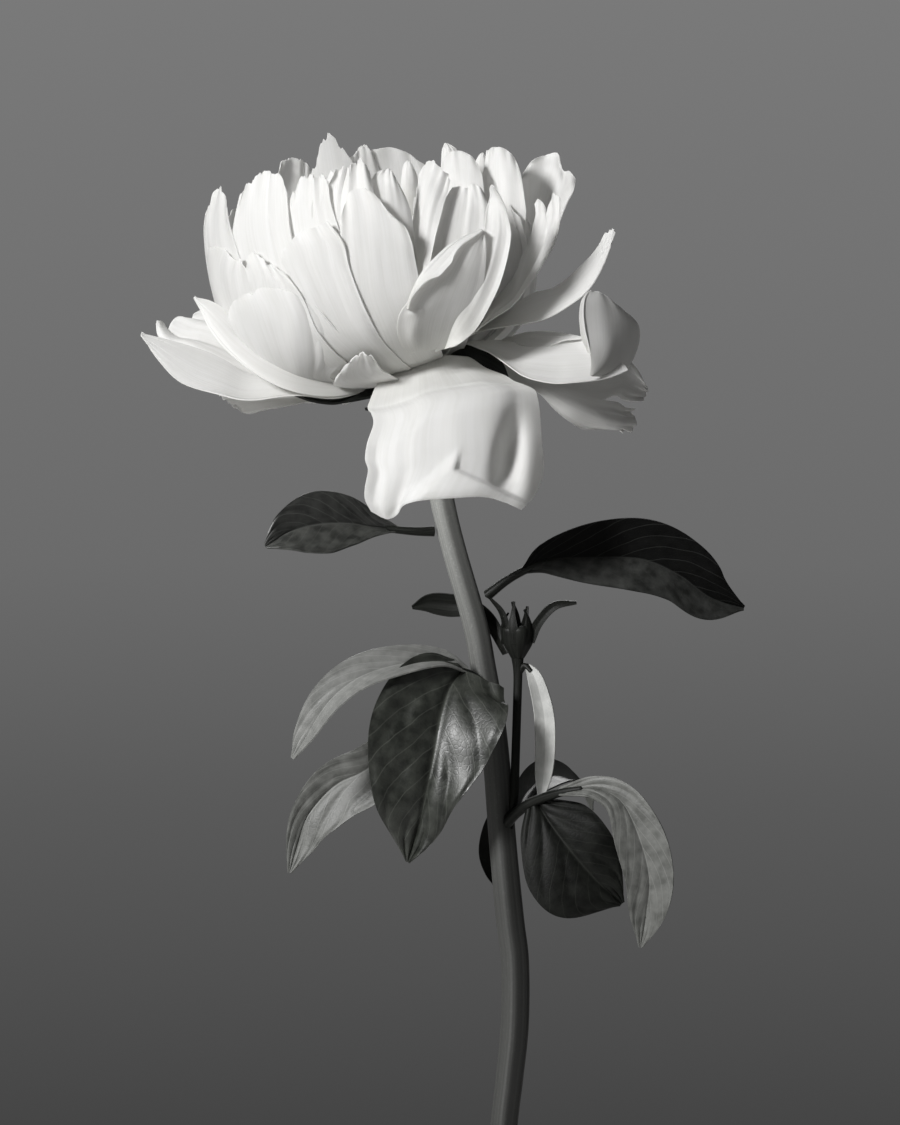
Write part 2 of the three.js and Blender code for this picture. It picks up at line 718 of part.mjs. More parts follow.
function makeBloom() {
  const random = randomNumbers(randomSeed);
  const vary = (amount) => amount * (2 * random() - 1);
  const pieces = [turnedOnBloom(heart, heartSides)];
  for (const one of [...frontPetals, ...backPetals]) pieces.push(petal(one));
  for (const { stations, ...shape } of shapedPetals) pieces.push(blade(stations, shape));
  for (const { count, first, step, vary: amount, ...shape } of petalRings) {
    for (let k = 0; k < count; k += 1) {
      const heading = first + step * k + vary(2 * amount);
      const reach = shape.reach + vary(amount);
      const rise = shape.rise + vary(amount);
      pieces.push(petal({ ...shape, heading, reach, rise }));
    }
  }
  return wholePiece(join(pieces).subtract(stemSeat()));
}

function meshOf(name, body, colour, roughness) {
  const { numProp, vertProperties, triVerts } = body.getMesh();
  const geometry = new THREE.BufferGeometry();
  geometry.setAttribute("position", new THREE.BufferAttribute(vertProperties, numProp));
  geometry.setIndex(new THREE.BufferAttribute(triVerts, 1));
  geometry.computeVertexNormals();
  const material = new THREE.MeshStandardMaterial({ color: colour, roughness, metalness: 0 });
  const mesh = new THREE.Mesh(geometry, material);
  mesh.name = name;
  return mesh;
}

const peony = new THREE.Group();
peony.add(meshOf("vase", makeVase(), 0xb9b7b0, 0.35));
peony.add(meshOf("water", makeWater(), 0xdfe8e6, 0.05));
peony.add(meshOf("stem", makeStem(), 0x5f6a55, 0.6));
peony.add(meshOf("sideShoot", makeSideShoot(), 0x2d332a, 0.6));
peony.add(meshOf("bloom", makeBloom(), 0xe9e6df, 0.7));
const stemsWithGap = stemBody(gap).add(shootBody(gap));
for (const [name, leaf] of Object.entries(leaves)) {
  peony.add(meshOf(name, wholePiece(makeLeaf(leaf).subtract(stemsWithGap)), leaf.colour, 0.55));
}

export default peony;
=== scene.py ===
import math
import random

import bpy
import numpy as np
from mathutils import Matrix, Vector


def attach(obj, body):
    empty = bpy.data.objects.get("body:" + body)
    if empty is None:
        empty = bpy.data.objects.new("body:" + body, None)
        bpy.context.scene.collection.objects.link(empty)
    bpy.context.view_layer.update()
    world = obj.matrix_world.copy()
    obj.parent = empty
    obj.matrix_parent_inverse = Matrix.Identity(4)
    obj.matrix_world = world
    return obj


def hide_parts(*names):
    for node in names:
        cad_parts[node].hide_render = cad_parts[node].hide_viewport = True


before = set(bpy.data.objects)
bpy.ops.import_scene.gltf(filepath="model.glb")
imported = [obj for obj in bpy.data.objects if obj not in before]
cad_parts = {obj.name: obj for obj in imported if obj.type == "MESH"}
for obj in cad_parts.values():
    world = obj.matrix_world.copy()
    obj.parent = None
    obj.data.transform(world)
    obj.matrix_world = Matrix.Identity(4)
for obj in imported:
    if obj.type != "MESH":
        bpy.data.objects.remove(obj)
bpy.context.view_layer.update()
random.seed(11)

# Places and sizes of the flower and the vase are in millimetres, as in the part, and become metres in the meshes.
mm = 0.001
fullTurn = 2 * math.pi

# The bloom's own directions: its axis leans to the left.
bloom = {"base": (-22.9, 0, 450.2), "tilt": 12, "thickness": 0.34}
tilt = math.radians(bloom["tilt"])
bloomBase = np.array(bloom["base"], float)
bloomAxis = np.array((-math.sin(tilt), 0, math.cos(tilt)))
bloomRight = np.array((math.cos(tilt), 0, math.sin(tilt)))
frontwards = np.array((0, -1, 0), float)

# How many faces a sheet has across and along.
grids = {
    "petal": (37, 33), "outlined": (49, 49), "hanging": (121, 121), "sepal": (17, 25), "longSepal": (17, 41),
    "bract": (9, 21), "longBract": (17, 33), "leaf": (41, 61),
}


def unit(rows):
    return rows / np.maximum(np.linalg.norm(rows, axis=-1, keepdims=True), 1e-9)


def easeIn(share):
    share = np.clip(share, 0, 1)
    return share * share * (3 - 2 * share)


def along(rows, shares):
    # smooth values at shares of the way, 0 to 1, along a list of rows
    rows = np.array(rows, float)
    spans = len(rows) - 1
    place = np.clip(np.asarray(shares, float), 0, 1) * spans
    first = np.minimum(place.astype(int), spans - 1)
    part = (place - first)[..., None]
    b, c = rows[first], rows[first + 1]
    a = np.where((first > 0)[..., None], rows[np.maximum(first - 1, 0)], 2 * b - c)
    d = np.where((first + 2 <= spans)[..., None], rows[np.minimum(first + 2, spans)], 2 * c - b)
    bend = (2 * a - 5 * b + 4 * c - d) * part ** 2 + (3 * b - a - 3 * c + d) * part ** 3
    return 0.5 * (2 * b + (c - a) * part + bend)


def lengthAlong(rows):
    return np.concatenate([[0], np.cumsum(np.linalg.norm(np.diff(rows, axis=0), axis=1))])


def valuesAt(wanted, known, rows):
    # the columns of rows, which are known at some places, at the wanted ones
    return np.stack([np.interp(wanted, known, column) for column in rows.T], -1)


def outwardAt(angle):
    return bloomRight * np.sin(angle) + frontwards * np.cos(angle)


def pleatHeights(s, u, v):
    return s["pleat"] * easeIn(1.3 * v) * np.sin(fullTurn * (s["pleats"] * u / 2 + 2.3 * s["phase"] + 0.15 * v))


def dentHeights(dents, u, v):
    # each dent: its place across and along, its widths both ways and its height
    return sum(
        high * np.exp(-((u - u0) / wideU) ** 2 - ((v - v0) / wideV) ** 2) for u0, v0, wideU, wideV, high in dents
    )


plainBlade = {
    "facing": (0, -1, 0), "tipFacing": None, "across": None,  # where the upper side looks
    "fold": 0, "curl": 0,  # degrees that the halves bend up: one value, or left and right
    "edge": 0, "edgeFrom": 0.55,  # more bend near the margins
    "crown": 0, "peak": 2.4, "skew": 0,  # how the tip's edge falls away to the sides
    "ragged": 0, "lobes": 2.6,  # small teeth along the tip's edge
    "wave": 0, "waves": 2, "ruffle": 0, "ruffles": 3, "pleat": 0, "pleats": 4, "phase": 0,
    "quilt": 0, "veins": 4, "slant": 2, "dents": (),
}
runSteps = 80
bendParts = 14  # a half of the blade bends up in this many steps


def endLine(s, u):
    # how far up the blade's length each column reaches
    end = 1 - s["crown"] * (np.abs(u - s["skew"]) / (1 + abs(s["skew"]))) ** s["peak"]
    for often, strength in ((1, 1), (2.3, 0.45)):
        teeth = np.abs(np.sin(math.pi * often * (s["lobes"] * u + 3.1 * s["phase"])))
        end = end - s["ragged"] * strength * (1 - teeth) ** 3
    return end


def bladePlaces(shape, u, v):
    # places on a blade, u from -1 at its left margin to 1, v from 0 at its root to 1 at its tip;
    # its run is rows of x, y, z and the half width, or the left and the right one
    s = {**plainBlade, **shape}
    run = [(*row[:4], row[-1]) for row in s["run"]]
    fine = along(run, np.linspace(0, 1, runSteps + 1))
    arc = lengthAlong(fine[:, :3])
    share = v * endLine(s, u)
    reached = np.clip(share, 0, 1) * arc[-1]
    here = valuesAt(reached, arc, fine)
    onward = unit(valuesAt(reached, arc, np.gradient(fine[:, :3], axis=0)))
    side = s["across"]
    if side is None:
        start, finish = np.array(s["facing"], float), np.array(s["tipFacing"] or s["facing"], float)
        side = np.cross(onward, start + (finish - start) * share[:, None])
    side = unit(side - onward * np.sum(side * onward, axis=-1, keepdims=True))
    upper = np.cross(side, onward)

    isLeft, x = u < 0, np.abs(u)
    half = np.where(isLeft, here[:, 3], here[:, 4])
    curl = np.where(isLeft, *np.broadcast_to(s["curl"], 2))
    outward, lifted = np.zeros_like(x), np.zeros_like(x)
    for k in range(bendParts):
        inner = x * (k + 0.5) / bendParts
        margin = np.maximum(0, (inner - s["edgeFrom"]) / (1 - s["edgeFrom"])) ** 2
        angle = np.radians(s["fold"] + curl * inner + s["edge"] * margin * easeIn(1.5 * v))
        outward += np.cos(angle) * half * x / bendParts
        lifted += np.sin(angle) * half * x / bendParts
    waving = np.sin(fullTurn * (s["waves"] * share + s["phase"] + 0.37 * isLeft))
    lifted += s["wave"] * x ** 2 * waving * easeIn(1.4 * v)
    lifted += s["ruffle"] * v ** 4 * np.sin(fullTurn * (s["ruffles"] * u / 2 + 1.7 * s["phase"]))
    lifted += pleatHeights(s, u, v) + dentHeights(s["dents"], u, v)
    between = np.abs(np.sin(math.pi * (s["veins"] * share - s["slant"] * x))) ** 0.7
    lifted += s["quilt"] * (between * easeIn(4 * x) * easeIn(6 * (1 - x)) - np.exp(-(x / 0.05) ** 2))
    return here[:, :3] + side * (outward * np.sign(u))[:, None] + upper * lifted[:, None]


plainPetal = {
    "heading": 0, "root": 7, "base": 0, "reach": 40, "rise": 50,  # heading 0 is the front, 90 the right
    "leave": 5, "arrive": 95, "half": 18, "foot": 0.4, "swell": 0.9, "widest": 0.62, "shoulder": 0.2,
    "crown": 0.3, "ragged": 0.02, "startPull": 0.5, "endPull": 0.45, "stations": 9,
}


def petalPlaces(shape, u, v):
    # places on a petal that grows from the bloom's base, out to reach and up to rise
    s = {**plainPetal, **shape}
    start, finish = np.array((s["root"], s["base"]), float), np.array((s["reach"], s["rise"]), float)
    span = np.linalg.norm(finish - start)
    slope = lambda angle: np.array((math.cos(math.radians(angle)), math.sin(math.radians(angle))))
    afterStart = start + s["startPull"] * span * slope(s["leave"])
    beforeFinish = finish - s["endPull"] * span * slope(s["arrive"])
    share = np.linspace(0, 1, s["stations"])[:, None]
    rest = 1 - share
    path = rest ** 3 * start + share ** 3 * finish
    path += 3 * rest * share * (rest * afterStart + share * beforeFinish)
    opening = np.sin(math.pi / 2 * np.minimum(1, share / s["widest"])) ** s["swell"]
    closing = np.maximum(0, (share - s["widest"]) / (1 - s["widest"])) ** 2
    width = s["half"] * (s["foot"] + (1 - s["foot"]) * opening - s["shoulder"] * closing)
    angle = math.radians(s["heading"])
    middle = bloomBase + outwardAt(angle) * path[:, :1] + bloomAxis * path[:, 1:]
    across = outwardAt(angle + math.pi / 2)
    curl = math.degrees(s["half"] / s["reach"])
    return bladePlaces({"curl": curl, **s, "run": np.hstack([middle, width]), "across": across}, u, v)


# The cup is a bowl: how far out and how high its side runs, from the root to the rim.
cup = {
    "side": ((3, 0), (18, 0), (30, 1), (42, 5), (51, 12), (56, 22), (58, 34), (58, 46), (56, 58), (51, 70), (45, 81)),
    "rightSide": ((3, 0), (15, 4.5), (24, 10), (33, 16), (41, 22.5), (48, 30), (53.5, 39), (57.5, 49), (59.5, 60),
        (59.5, 71), (58, 82)),
    "rightHeading": 80, "rightSpread": 85,
}
plainPatch = {
    "layer": 0, "flare": 0.8, "bulge": 0, "towards": (0, -1, 0),
    "ragged": 0.9, "lobes": 2.6, "pleat": 0.1, "pleats": 3, "ruffle": 0.4, "ruffles": 4, "phase": 0,
    "edgeLeft": -0.2, "edgeRight": 0.25, "dents": (), "relief": None, "wobble": 0.35,
}
cupSteps = 200


def evenSide(rows):
    # a side of the cup in equal steps: how far out, how high, and its direction
    fine = along(rows, np.linspace(0, 1, cupSteps + 1))
    arc = lengthAlong(fine)
    even = valuesAt(np.linspace(0, arc[-1], cupSteps + 1), arc, fine)
    return np.hstack([even, np.gradient(even, axis=0)])


cupSides = [evenSide(cup["side"]), evenSide(cup["rightSide"])]


def cupPlaces(heading, share, offset):
    # places on the cup: heading in degrees, share of the way up its side, and how far outside it
    turn = (heading - cup["rightHeading"] + 180) % 360 - 180
    toRight = np.cos(np.clip(np.abs(turn) / cup["rightSpread"], 0, 1) * math.pi / 2)[:, None] ** 2
    step = np.clip(share, 0, 1) * cupSteps
    plain, right = (valuesAt(step, range(cupSteps + 1), side) for side in cupSides)
    spot = plain * (1 - toRight) + right * toRight
    spot = spot[:, :2] + unit(np.stack([spot[:, 3], -spot[:, 2]], -1)) * offset[:, None]
    return bloomBase + outwardAt(np.radians(heading)[:, None]) * spot[:, :1] + bloomAxis * spot[:, 1:]


def betweenEdges(shape, a, v):
    # rows inside an outline: up its left and right edges, and across its top from corner to corner
    first, last = np.array(shape.get("corners", (shape["left"][-1], shape["right"][-1])), float)
    left, right, top = along(shape["left"], v), along(shape["right"], v), along((first, *shape["top"], last), a)
    a, v = a[:, None], v[:, None]
    return (1 - a) * left + a * right + v * (top - (1 - a) * first - a * last)


def fineHeights(s, u, v):
    # pleats, uneven swells, ruffles, lifted margins and dents
    finePleats = np.sin(fullTurn * (s["pleats"] * 1.7 * u / 2 + 5.1 * s["phase"] - 0.2 * v))
    height = pleatHeights(s, u, v) + s["pleat"] * 0.5 * easeIn(1.3 * v) * finePleats
    first, second = 9.1 * s["phase"], 23.7 * s["phase"]
    uneven = np.sin(2.6 * u + 1.9 * v + first) * np.sin(4.1 * v - 1.3 * u + second)
    uneven += 0.6 * np.sin(5.3 * u - 2.2 * v + second) * np.sin(6.7 * v + 2.1 * u + first)
    height += s["wobble"] * uneven * easeIn(2 * v)
    height += s["ruffle"] * v ** 5 * np.sin(fullTurn * (s["ruffles"] * u / 2 + 1.7 * s["phase"]))
    height += s["ruffle"] * 0.7 * np.abs(u) ** 4 * np.sin(fullTurn * (2.3 * v + s["phase"])) * easeIn(1.5 * v)
    height += np.where(u < 0, s["edgeLeft"], s["edgeRight"]) * np.abs(u) ** 5 * easeIn(1.5 * v)
    return height + dentHeights(s["dents"], u, v)


def raggedness(s, u):
    teeth = np.abs(np.sin(math.pi * (s["lobes"] * u + 3.1 * s["phase"])))
    fineTeeth = np.abs(np.sin(math.pi * (2.7 * s["lobes"] * u + 1.3 + 7.3 * s["phase"])))
    return s["ragged"] * ((1 - teeth) ** 3 + 0.45 * (1 - fineTeeth) ** 2)


def cupPetalPlaces(shape, u, v):
    s = {**plainPatch, **shape}
    spot = betweenEdges(s, (u + 1) / 2, v)
    share = (spot[:, 1] - raggedness(s, u) * v ** 6) / 100
    offset = s["layer"] + s["flare"] * v ** 2 + s["bulge"] * (1 - u * u) * v + fineHeights(s, u, v)
    return cupPlaces(spot[:, 0], share, offset)


def outlinedPetalPlaces(shape, u, v):
    # an outline of x, y, z with a swell towards one side
    s = {**plainPatch, "ragged": 0.25, "edgeLeft": 0, "edgeRight": 0, **shape}
    spot = betweenEdges(s, (u + 1) / 2, np.maximum(0, v - 0.01 * raggedness(s, u) * v ** 6))
    height = fineHeights(s, u, v) + s["bulge"] * (1 - u * u) * np.sin(math.pi * np.clip(v, 0, 1)) ** 0.7
    if s["relief"]:
        height = height + s["relief"](spot[:, 0], spot[:, 2])
    return spot + unit(np.array(s["towards"], float)) * height[:, None]


finishes = {}  # every material by its name


def feed(tree, node, inputs):
    # each input gets a number or colour, or a link from another node's socket
    for name, value in inputs.items():
        if isinstance(value, bpy.types.NodeSocket):
            tree.links.new(value, node.inputs[name])
        else:
            node.inputs[name].default_value = value
    return node


def addNode(tree, kind, inputs):
    return feed(tree, tree.nodes.new("ShaderNode" + kind), inputs)


def newMaterial(name):
    made = finishes[name] = bpy.data.materials.new(name)
    made.use_nodes = True
    return made.node_tree, made.node_tree.nodes["Principled BSDF"]


def coordinates(tree, kind):
    return tree.nodes.new("ShaderNodeTexCoord").outputs[kind]


def oneAxis(tree, source, axis):
    return addNode(tree, "SeparateXYZ", {0: source}).outputs[axis]


def noiseNode(tree, source, scale, detail=4, stretch=(1, 1, 1)):
    mapping = addNode(tree, "Mapping", {"Scale": stretch, "Vector": source})
    noise = addNode(tree, "TexNoise", {"Scale": scale, "Detail": detail, "Vector": mapping.outputs["Vector"]})
    return noise.outputs["Fac"]


def grey(level):
    return (level, level, level)


def rampNode(tree, source, stops):
    ramp = addNode(tree, "ValToRGB", {"Fac": source})
    elements = ramp.color_ramp.elements
    for k in (0, -1):
        elements[k].position, elements[k].color = stops[k][0], (*stops[k][1], 1)
    for position, colour in stops[1:-1]:
        elements.new(position).color = (*colour, 1)
    return ramp.outputs["Color"]


def mixNode(tree, blend, factor, first, second):
    mix = tree.nodes.new("ShaderNodeMix")
    mix.data_type, mix.blend_type = "RGBA", blend
    colourInputs = [k for k, socket in enumerate(mix.inputs) if socket.type == "RGBA"]
    feed(tree, mix, {"Factor": factor, colourInputs[0]: first, colourInputs[1]: second})
    return next(socket for socket in mix.outputs if socket.type == "RGBA")


def mathNode(tree, operation, *values):
    node = tree.nodes.new("ShaderNodeMath")
    node.operation = operation
    return feed(tree, node, dict(enumerate(values))).outputs[0]


def bumpNode(tree, shader, height, strength, distance):
    bump = addNode(tree, "Bump", {"Strength": strength, "Distance": distance, "Height": height})
    feed(tree, shader, {"Normal": bump.outputs["Normal"]})
    return bump.outputs["Normal"]


def petalMaterial(name, root, middle, rim, through):
    # fine lines run up each petal, its root is warmer, and light comes through it
    tree, shader = newMaterial(name)
    uv = coordinates(tree, "UV")
    upwards = oneAxis(tree, uv, "Y")
    body = rampNode(tree, upwards, ((0, root), (0.4, middle), (1, rim)))
    lines = noiseNode(tree, uv, scale=46, detail=3, stretch=(1, 0.05, 1))
    veins = rampNode(tree, lines, ((0.35, (0.93, 0.93, 0.92)), (0.62, grey(1))))
    broad = noiseNode(tree, uv, scale=5, detail=3, stretch=(1, 0.3, 1))
    clouds = rampNode(tree, broad, ((0.3, (0.94, 0.94, 0.93)), (0.7, grey(1))))
    colour = mixNode(tree, "MULTIPLY", 0.8, mixNode(tree, "MULTIPLY", 0.6, body, veins), clouds)
    feed(tree, shader, {"Base Color": colour, "Roughness": 0.55, "Specular IOR Level": 0.25, "Sheen Weight": 0.1})
    fading = mathNode(tree, "MULTIPLY", lines, mathNode(tree, "SUBTRACT", 1, upwards))
    normal = bumpNode(tree, shader, fading, strength=0.15, distance=0.0005)
    glow = addNode(tree, "BsdfTranslucent", {"Color": colour, "Normal": normal})
    blend = addNode(tree, "MixShader", {"Fac": through, 1: shader.outputs[0], 2: glow.outputs[0]})
    feed(tree, tree.nodes["Material Output"], {"Surface": blend.outputs[0]})


leafVeins = {"count": 9, "slant": 3.2, "wander": 0.5, "thin": 7, "midribThin": 22, "mottle": 260, "net": 640}


def leafMaterial(name, dark, light, vein, gloss, shine=0.5, halves=None):
    # a net of veins in the leaf's own directions, over a mottled blade
    tree, shader = newMaterial(name)
    calculate = lambda *terms: mathNode(tree, *terms)
    uv, place = coordinates(tree, "UV"), coordinates(tree, "Object")
    across = calculate("ABSOLUTE", calculate("MULTIPLY_ADD", oneAxis(tree, uv, "X"), 2, -1))
    wander = calculate("MULTIPLY", noiseNode(tree, uv, scale=4, detail=2), leafVeins["wander"])
    row = calculate("MULTIPLY_ADD", oneAxis(tree, uv, "Y"), leafVeins["count"], wander)
    row = calculate("SUBTRACT", row, calculate("MULTIPLY", across, leafVeins["slant"]))
    offLine = calculate("ABSOLUTE", calculate("SINE", calculate("MULTIPLY", row, math.pi)))
    sideVeins = calculate("SUBTRACT", 1, calculate("MULTIPLY", offLine, leafVeins["thin"]))
    midrib = calculate("SUBTRACT", 1, calculate("MULTIPLY", across, leafVeins["midribThin"]))
    lines = calculate("MINIMUM", calculate("MAXIMUM", calculate("MAXIMUM", sideVeins, 0), midrib), 1)
    mottle = noiseNode(tree, place, leafVeins["mottle"], detail=5)
    body = rampNode(tree, mottle, ((0.35, dark), (0.68, light)))
    # painted light and shade: one half of the blade is made lighter or darker for the light falling on it
    if halves:
        side = rampNode(tree, oneAxis(tree, uv, "X"), ((0.48, grey(halves[0])), (0.53, grey(halves[1]))))
        body = mixNode(tree, "MULTIPLY", 1, body, side)
    colour = mixNode(tree, "MIX", calculate("MULTIPLY", lines, 0.6), body, (*vein, 1))
    rough = calculate("MULTIPLY_ADD", mottle, 0.3, gloss)
    feed(tree, shader, {"Base Color": colour, "Roughness": rough, "Specular IOR Level": shine})
    cells = addNode(tree, "TexVoronoi", {"Scale": leafVeins["net"], "Vector": place})
    cells.feature = "DISTANCE_TO_EDGE"
    net = calculate("MINIMUM", calculate("MULTIPLY", cells.outputs["Distance"], 6), 1)
    bumpNode(tree, shader, calculate("SUBTRACT", net, lines), strength=0.07, distance=0.0004)


def stalkMaterial(name, dark, light, gloss, shine, paintedShadeByHeight=None, paintedSideLight=None):
    # streaks along the stalk, small pale dots and a slightly waxy skin
    tree, shader = newMaterial(name)
    uv, place = coordinates(tree, "UV"), coordinates(tree, "Object")
    streaks = noiseNode(tree, uv, scale=34, stretch=(1, 0.06, 1))
    specks = rampNode(tree, noiseNode(tree, place, scale=1500, detail=2), ((0.55, grey(0)), (0.75, grey(1))))
    pale = (*(min(1, 1.9 * part) for part in light), 1)
    colour = rampNode(tree, streaks, ((0.35, dark), (0.65, light)))
    colour = mixNode(tree, "MIX", mathNode(tree, "MULTIPLY", specks, 0.25), colour, pale)
    # painted shade: the colour darkens towards the foot, where less light falls
    if paintedShadeByHeight:
        height = mathNode(tree, "MULTIPLY", oneAxis(tree, place, "Z"), 2)
        colour = mixNode(tree, "MULTIPLY", 1, colour, rampNode(tree, height, paintedShadeByHeight))
    # painted light and shade: paler on the lit left side, darker on the shaded right side
    if paintedSideLight:
        colour = mixNode(tree, "MULTIPLY", 1, colour, rampNode(tree, oneAxis(tree, uv, "X"), paintedSideLight))
    feed(tree, shader, {"Base Color": colour, "Roughness": gloss, "Specular IOR Level": shine})
    bumpNode(tree, shader, streaks, strength=0.2, distance=0.0004)


def glazeMaterial(name, colour, shade):
    tree, shader = newMaterial(name)
    place = coordinates(tree, "Object")
    clouds = noiseNode(tree, place, scale=22, detail=5)
    body = rampNode(tree, clouds, ((0.3, shade), (0.7, colour)))
    specks = noiseNode(tree, place, scale=900, detail=2)
    dark = rampNode(tree, specks, ((0.26, (0.5, 0.48, 0.45)), (0.33, grey(1))))
    feed(tree, shader, {
        "Base Color": mixNode(tree, "MULTIPLY", 0.5, body, dark), "Roughness": 0.32,
        "Coat Weight": 0.5, "Coat Roughness": 0.12,
    })
    bumpNode(tree, shader, clouds, strength=0.12, distance=0.002)


petalLooks = {  # root, middle, rim, and how much light comes through
    "petalWhite": ((0.89, 0.888, 0.865), (0.935, 0.932, 0.926), (0.95, 0.948, 0.944), 0.46),
    # painted shade: a darker copy of the petal colour for the shaded right guard petals, which also let less light
    # through
    "petalOuter": ((0.6, 0.597, 0.58), (0.72, 0.717, 0.71), (0.76, 0.757, 0.75), 0.2),
}
leafLooks = {  # dark and light blade, veins, gloss, shine, and the painted light and shade of the left and right halves; every finish but leafUpper and leafUnder is a lighter or darker copy of one leaf colour, as painted light or painted shade
    "leafUpper": ((0.012, 0.0135, 0.011), (0.034, 0.037, 0.031), (0.08, 0.085, 0.074), 0.25),
    # painted shade: a darker copy of the leaf colour for leaves that lie in shadow
    "leafDark": ((0.003, 0.0033, 0.0028), (0.009, 0.0098, 0.0083), (0.022, 0.0235, 0.02), 0.4, 0.16),
    # painted light and shade: one half of this blade is painted lighter, the other darker
    "leafBanded": ((0.012, 0.0125, 0.0115), (0.032, 0.033, 0.0305), (0.08, 0.082, 0.077), 0.25, 0.5, (1.9, 0.8)),
    # painted shadow: the left half of this blade is near black, as if in the hanging petal's shadow
    "leafTwoTone": ((0.014, 0.0145, 0.0135), (0.036, 0.037, 0.035), (0.03, 0.031, 0.029), 0.5, 0.08, (0.1, 1)),
    # painted light: a paler copy of the leaf colour standing in for sheen
    "leafPale": ((0.17, 0.1725, 0.165), (0.235, 0.2375, 0.228), (0.33, 0.334, 0.322), 0.3),
    # painted light: a much paler copy of the leaf colour standing in for a glossy reflection
    "leafBright": ((0.36, 0.364, 0.352), (0.46, 0.464, 0.45), (0.52, 0.524, 0.51), 0.4),
    # painted light: a lighter copy of the leaf colour for leaves that catch more light
    "leafMid": ((0.085, 0.087, 0.081), (0.155, 0.1575, 0.149), (0.24, 0.244, 0.233), 0.32, 0.35),
    "leafUnder": ((0.12, 0.127, 0.113), (0.2, 0.208, 0.19), (0.27, 0.28, 0.257), 0.45),
}
# painted light and shade on the stem: darker towards its foot as painted shade, and paler on its left as painted light
stemPaintedShadeStops = ((0.56, grey(0.22)), (0.7, grey(0.42)), (0.82, grey(1)))
stemPaintedLightStops = ((0, grey(1)), (0.2, grey(0.9)), (0.28, grey(0.42)), (0.6, grey(0.45)), (1, grey(1)))
stalkLooks = {  # dark and light streaks, gloss, shine
    "stemGreen": ((0.23, 0.233, 0.223), (0.35, 0.354, 0.338), 0.42, 0.4, stemPaintedShadeStops, stemPaintedLightStops),
    "shootGreen": ((0.004, 0.0043, 0.0037), (0.014, 0.015, 0.013), 0.45, 0.15),
    # the sepals are real; their near-black colour is painted shade of the gap under the cup
    "sepalGreen": ((0.005, 0.0055, 0.0047), (0.015, 0.016, 0.014), 0.4, 0.2),
}
for makeMaterial, looks in ((petalMaterial, petalLooks), (leafMaterial, leafLooks), (stalkMaterial, stalkLooks)):
    for lookName, look in looks.items():
        makeMaterial(lookName, *look)
glazeMaterial("glaze", colour=(0.62, 0.61, 0.58), shade=(0.5, 0.49, 0.46))
print("finishes made")


def selectOnly(*pieces):
    bpy.ops.object.select_all(action="DESELECT")
    for piece in pieces:
        piece.select_set(True)
    if pieces:
        bpy.context.view_layer.objects.active = pieces[0]


def sheet(name, columns, rows, placeAt, *looks):
    # a grid whose corners are moved to their places
    selectOnly()
    bpy.ops.mesh.primitive_grid_add(x_subdivisions=columns, y_subdivisions=rows, size=2)
    made = bpy.context.object
    made.name = name
    corners = np.empty(len(made.data.vertices) * 3)
    made.data.vertices.foreach_get("co", corners)
    corners = corners.reshape(-1, 3)
    places = placeAt(corners[:, 0], (corners[:, 1] + 1) / 2)
    made.data.vertices.foreach_set("co", (places * mm).ravel())
    made.data.update()
    for look in looks:
        made.data.materials.append(finishes[look])
    return made


def blade(name, shape, grid, placesOf, *looks):
    return sheet(name, *grids[grid], lambda u, v: placesOf(shape, u, v), *looks)


def thicken(piece, thickness, materialStep=0):
    bpy.context.view_layer.objects.active = piece
    modifier = piece.modifiers.new("thickness", "SOLIDIFY")
    modifier.thickness, modifier.offset, modifier.material_offset = thickness * mm, 0, materialStep
    bpy.ops.object.modifier_apply(modifier=modifier.name)


def joinPieces(name, pieces):
    selectOnly(*pieces)
    if len(pieces) > 1:
        bpy.ops.object.join()
    pieces[0].name = name
    return pieces[0]


def finishPiece(piece, node, smoothAngle=60):
    selectOnly(piece)
    bpy.ops.object.shade_smooth_by_angle(angle=math.radians(smoothAngle))
    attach(piece, "root")
    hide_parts(node)


def stalk(name, line, look, sides, steps, ridges=0, ridgeHeight=0, ridgeTurn=0):
    # a closed round stalk along a line of x, y, z, radius
    lineSteps = 200
    fine = along(line, np.linspace(0, 1, lineSteps + 1))
    tangent = unit(np.gradient(fine[:, :3], axis=0))
    side = unit(np.cross(tangent, frontwards))
    rows = np.hstack([fine, side, np.cross(side, tangent)])

    def placeAt(u, v):
        here = valuesAt(v * lineSteps, range(lineSteps + 1), rows)
        angle = -math.pi * u[:, None]
        isEnd = (v < 1e-6) | (v > 1 - 1e-6)
        ridge = 1 + ridgeHeight * np.cos(ridges * (angle - math.radians(ridgeTurn)))
        size = np.where(isEnd[:, None], 0, here[:, 3:4] * ridge)
        return here[:, :3] + here[:, 4:7] * size * np.cos(angle) + here[:, 7:] * size * np.sin(angle)

    made = sheet(name, sides, steps, placeAt, look)
    selectOnly(made)
    bpy.ops.object.mode_set(mode="EDIT")
    bpy.ops.mesh.select_all(action="SELECT")
    bpy.ops.mesh.remove_doubles(threshold=0.00001)
    bpy.ops.mesh.normals_make_consistent(inside=False)
    bpy.ops.object.mode_set(mode="OBJECT")
    return made


def makePetals(name, petals, placesOf=petalPlaces, grid="petal"):
    piece = joinPieces(name, [
        blade(name, shape, grid, placesOf, shape.get("finish", "petalWhite")) for shape in petals.values()
    ])
    thicken(piece, bloom["thickness"])
    finishPiece(piece, "bloom")


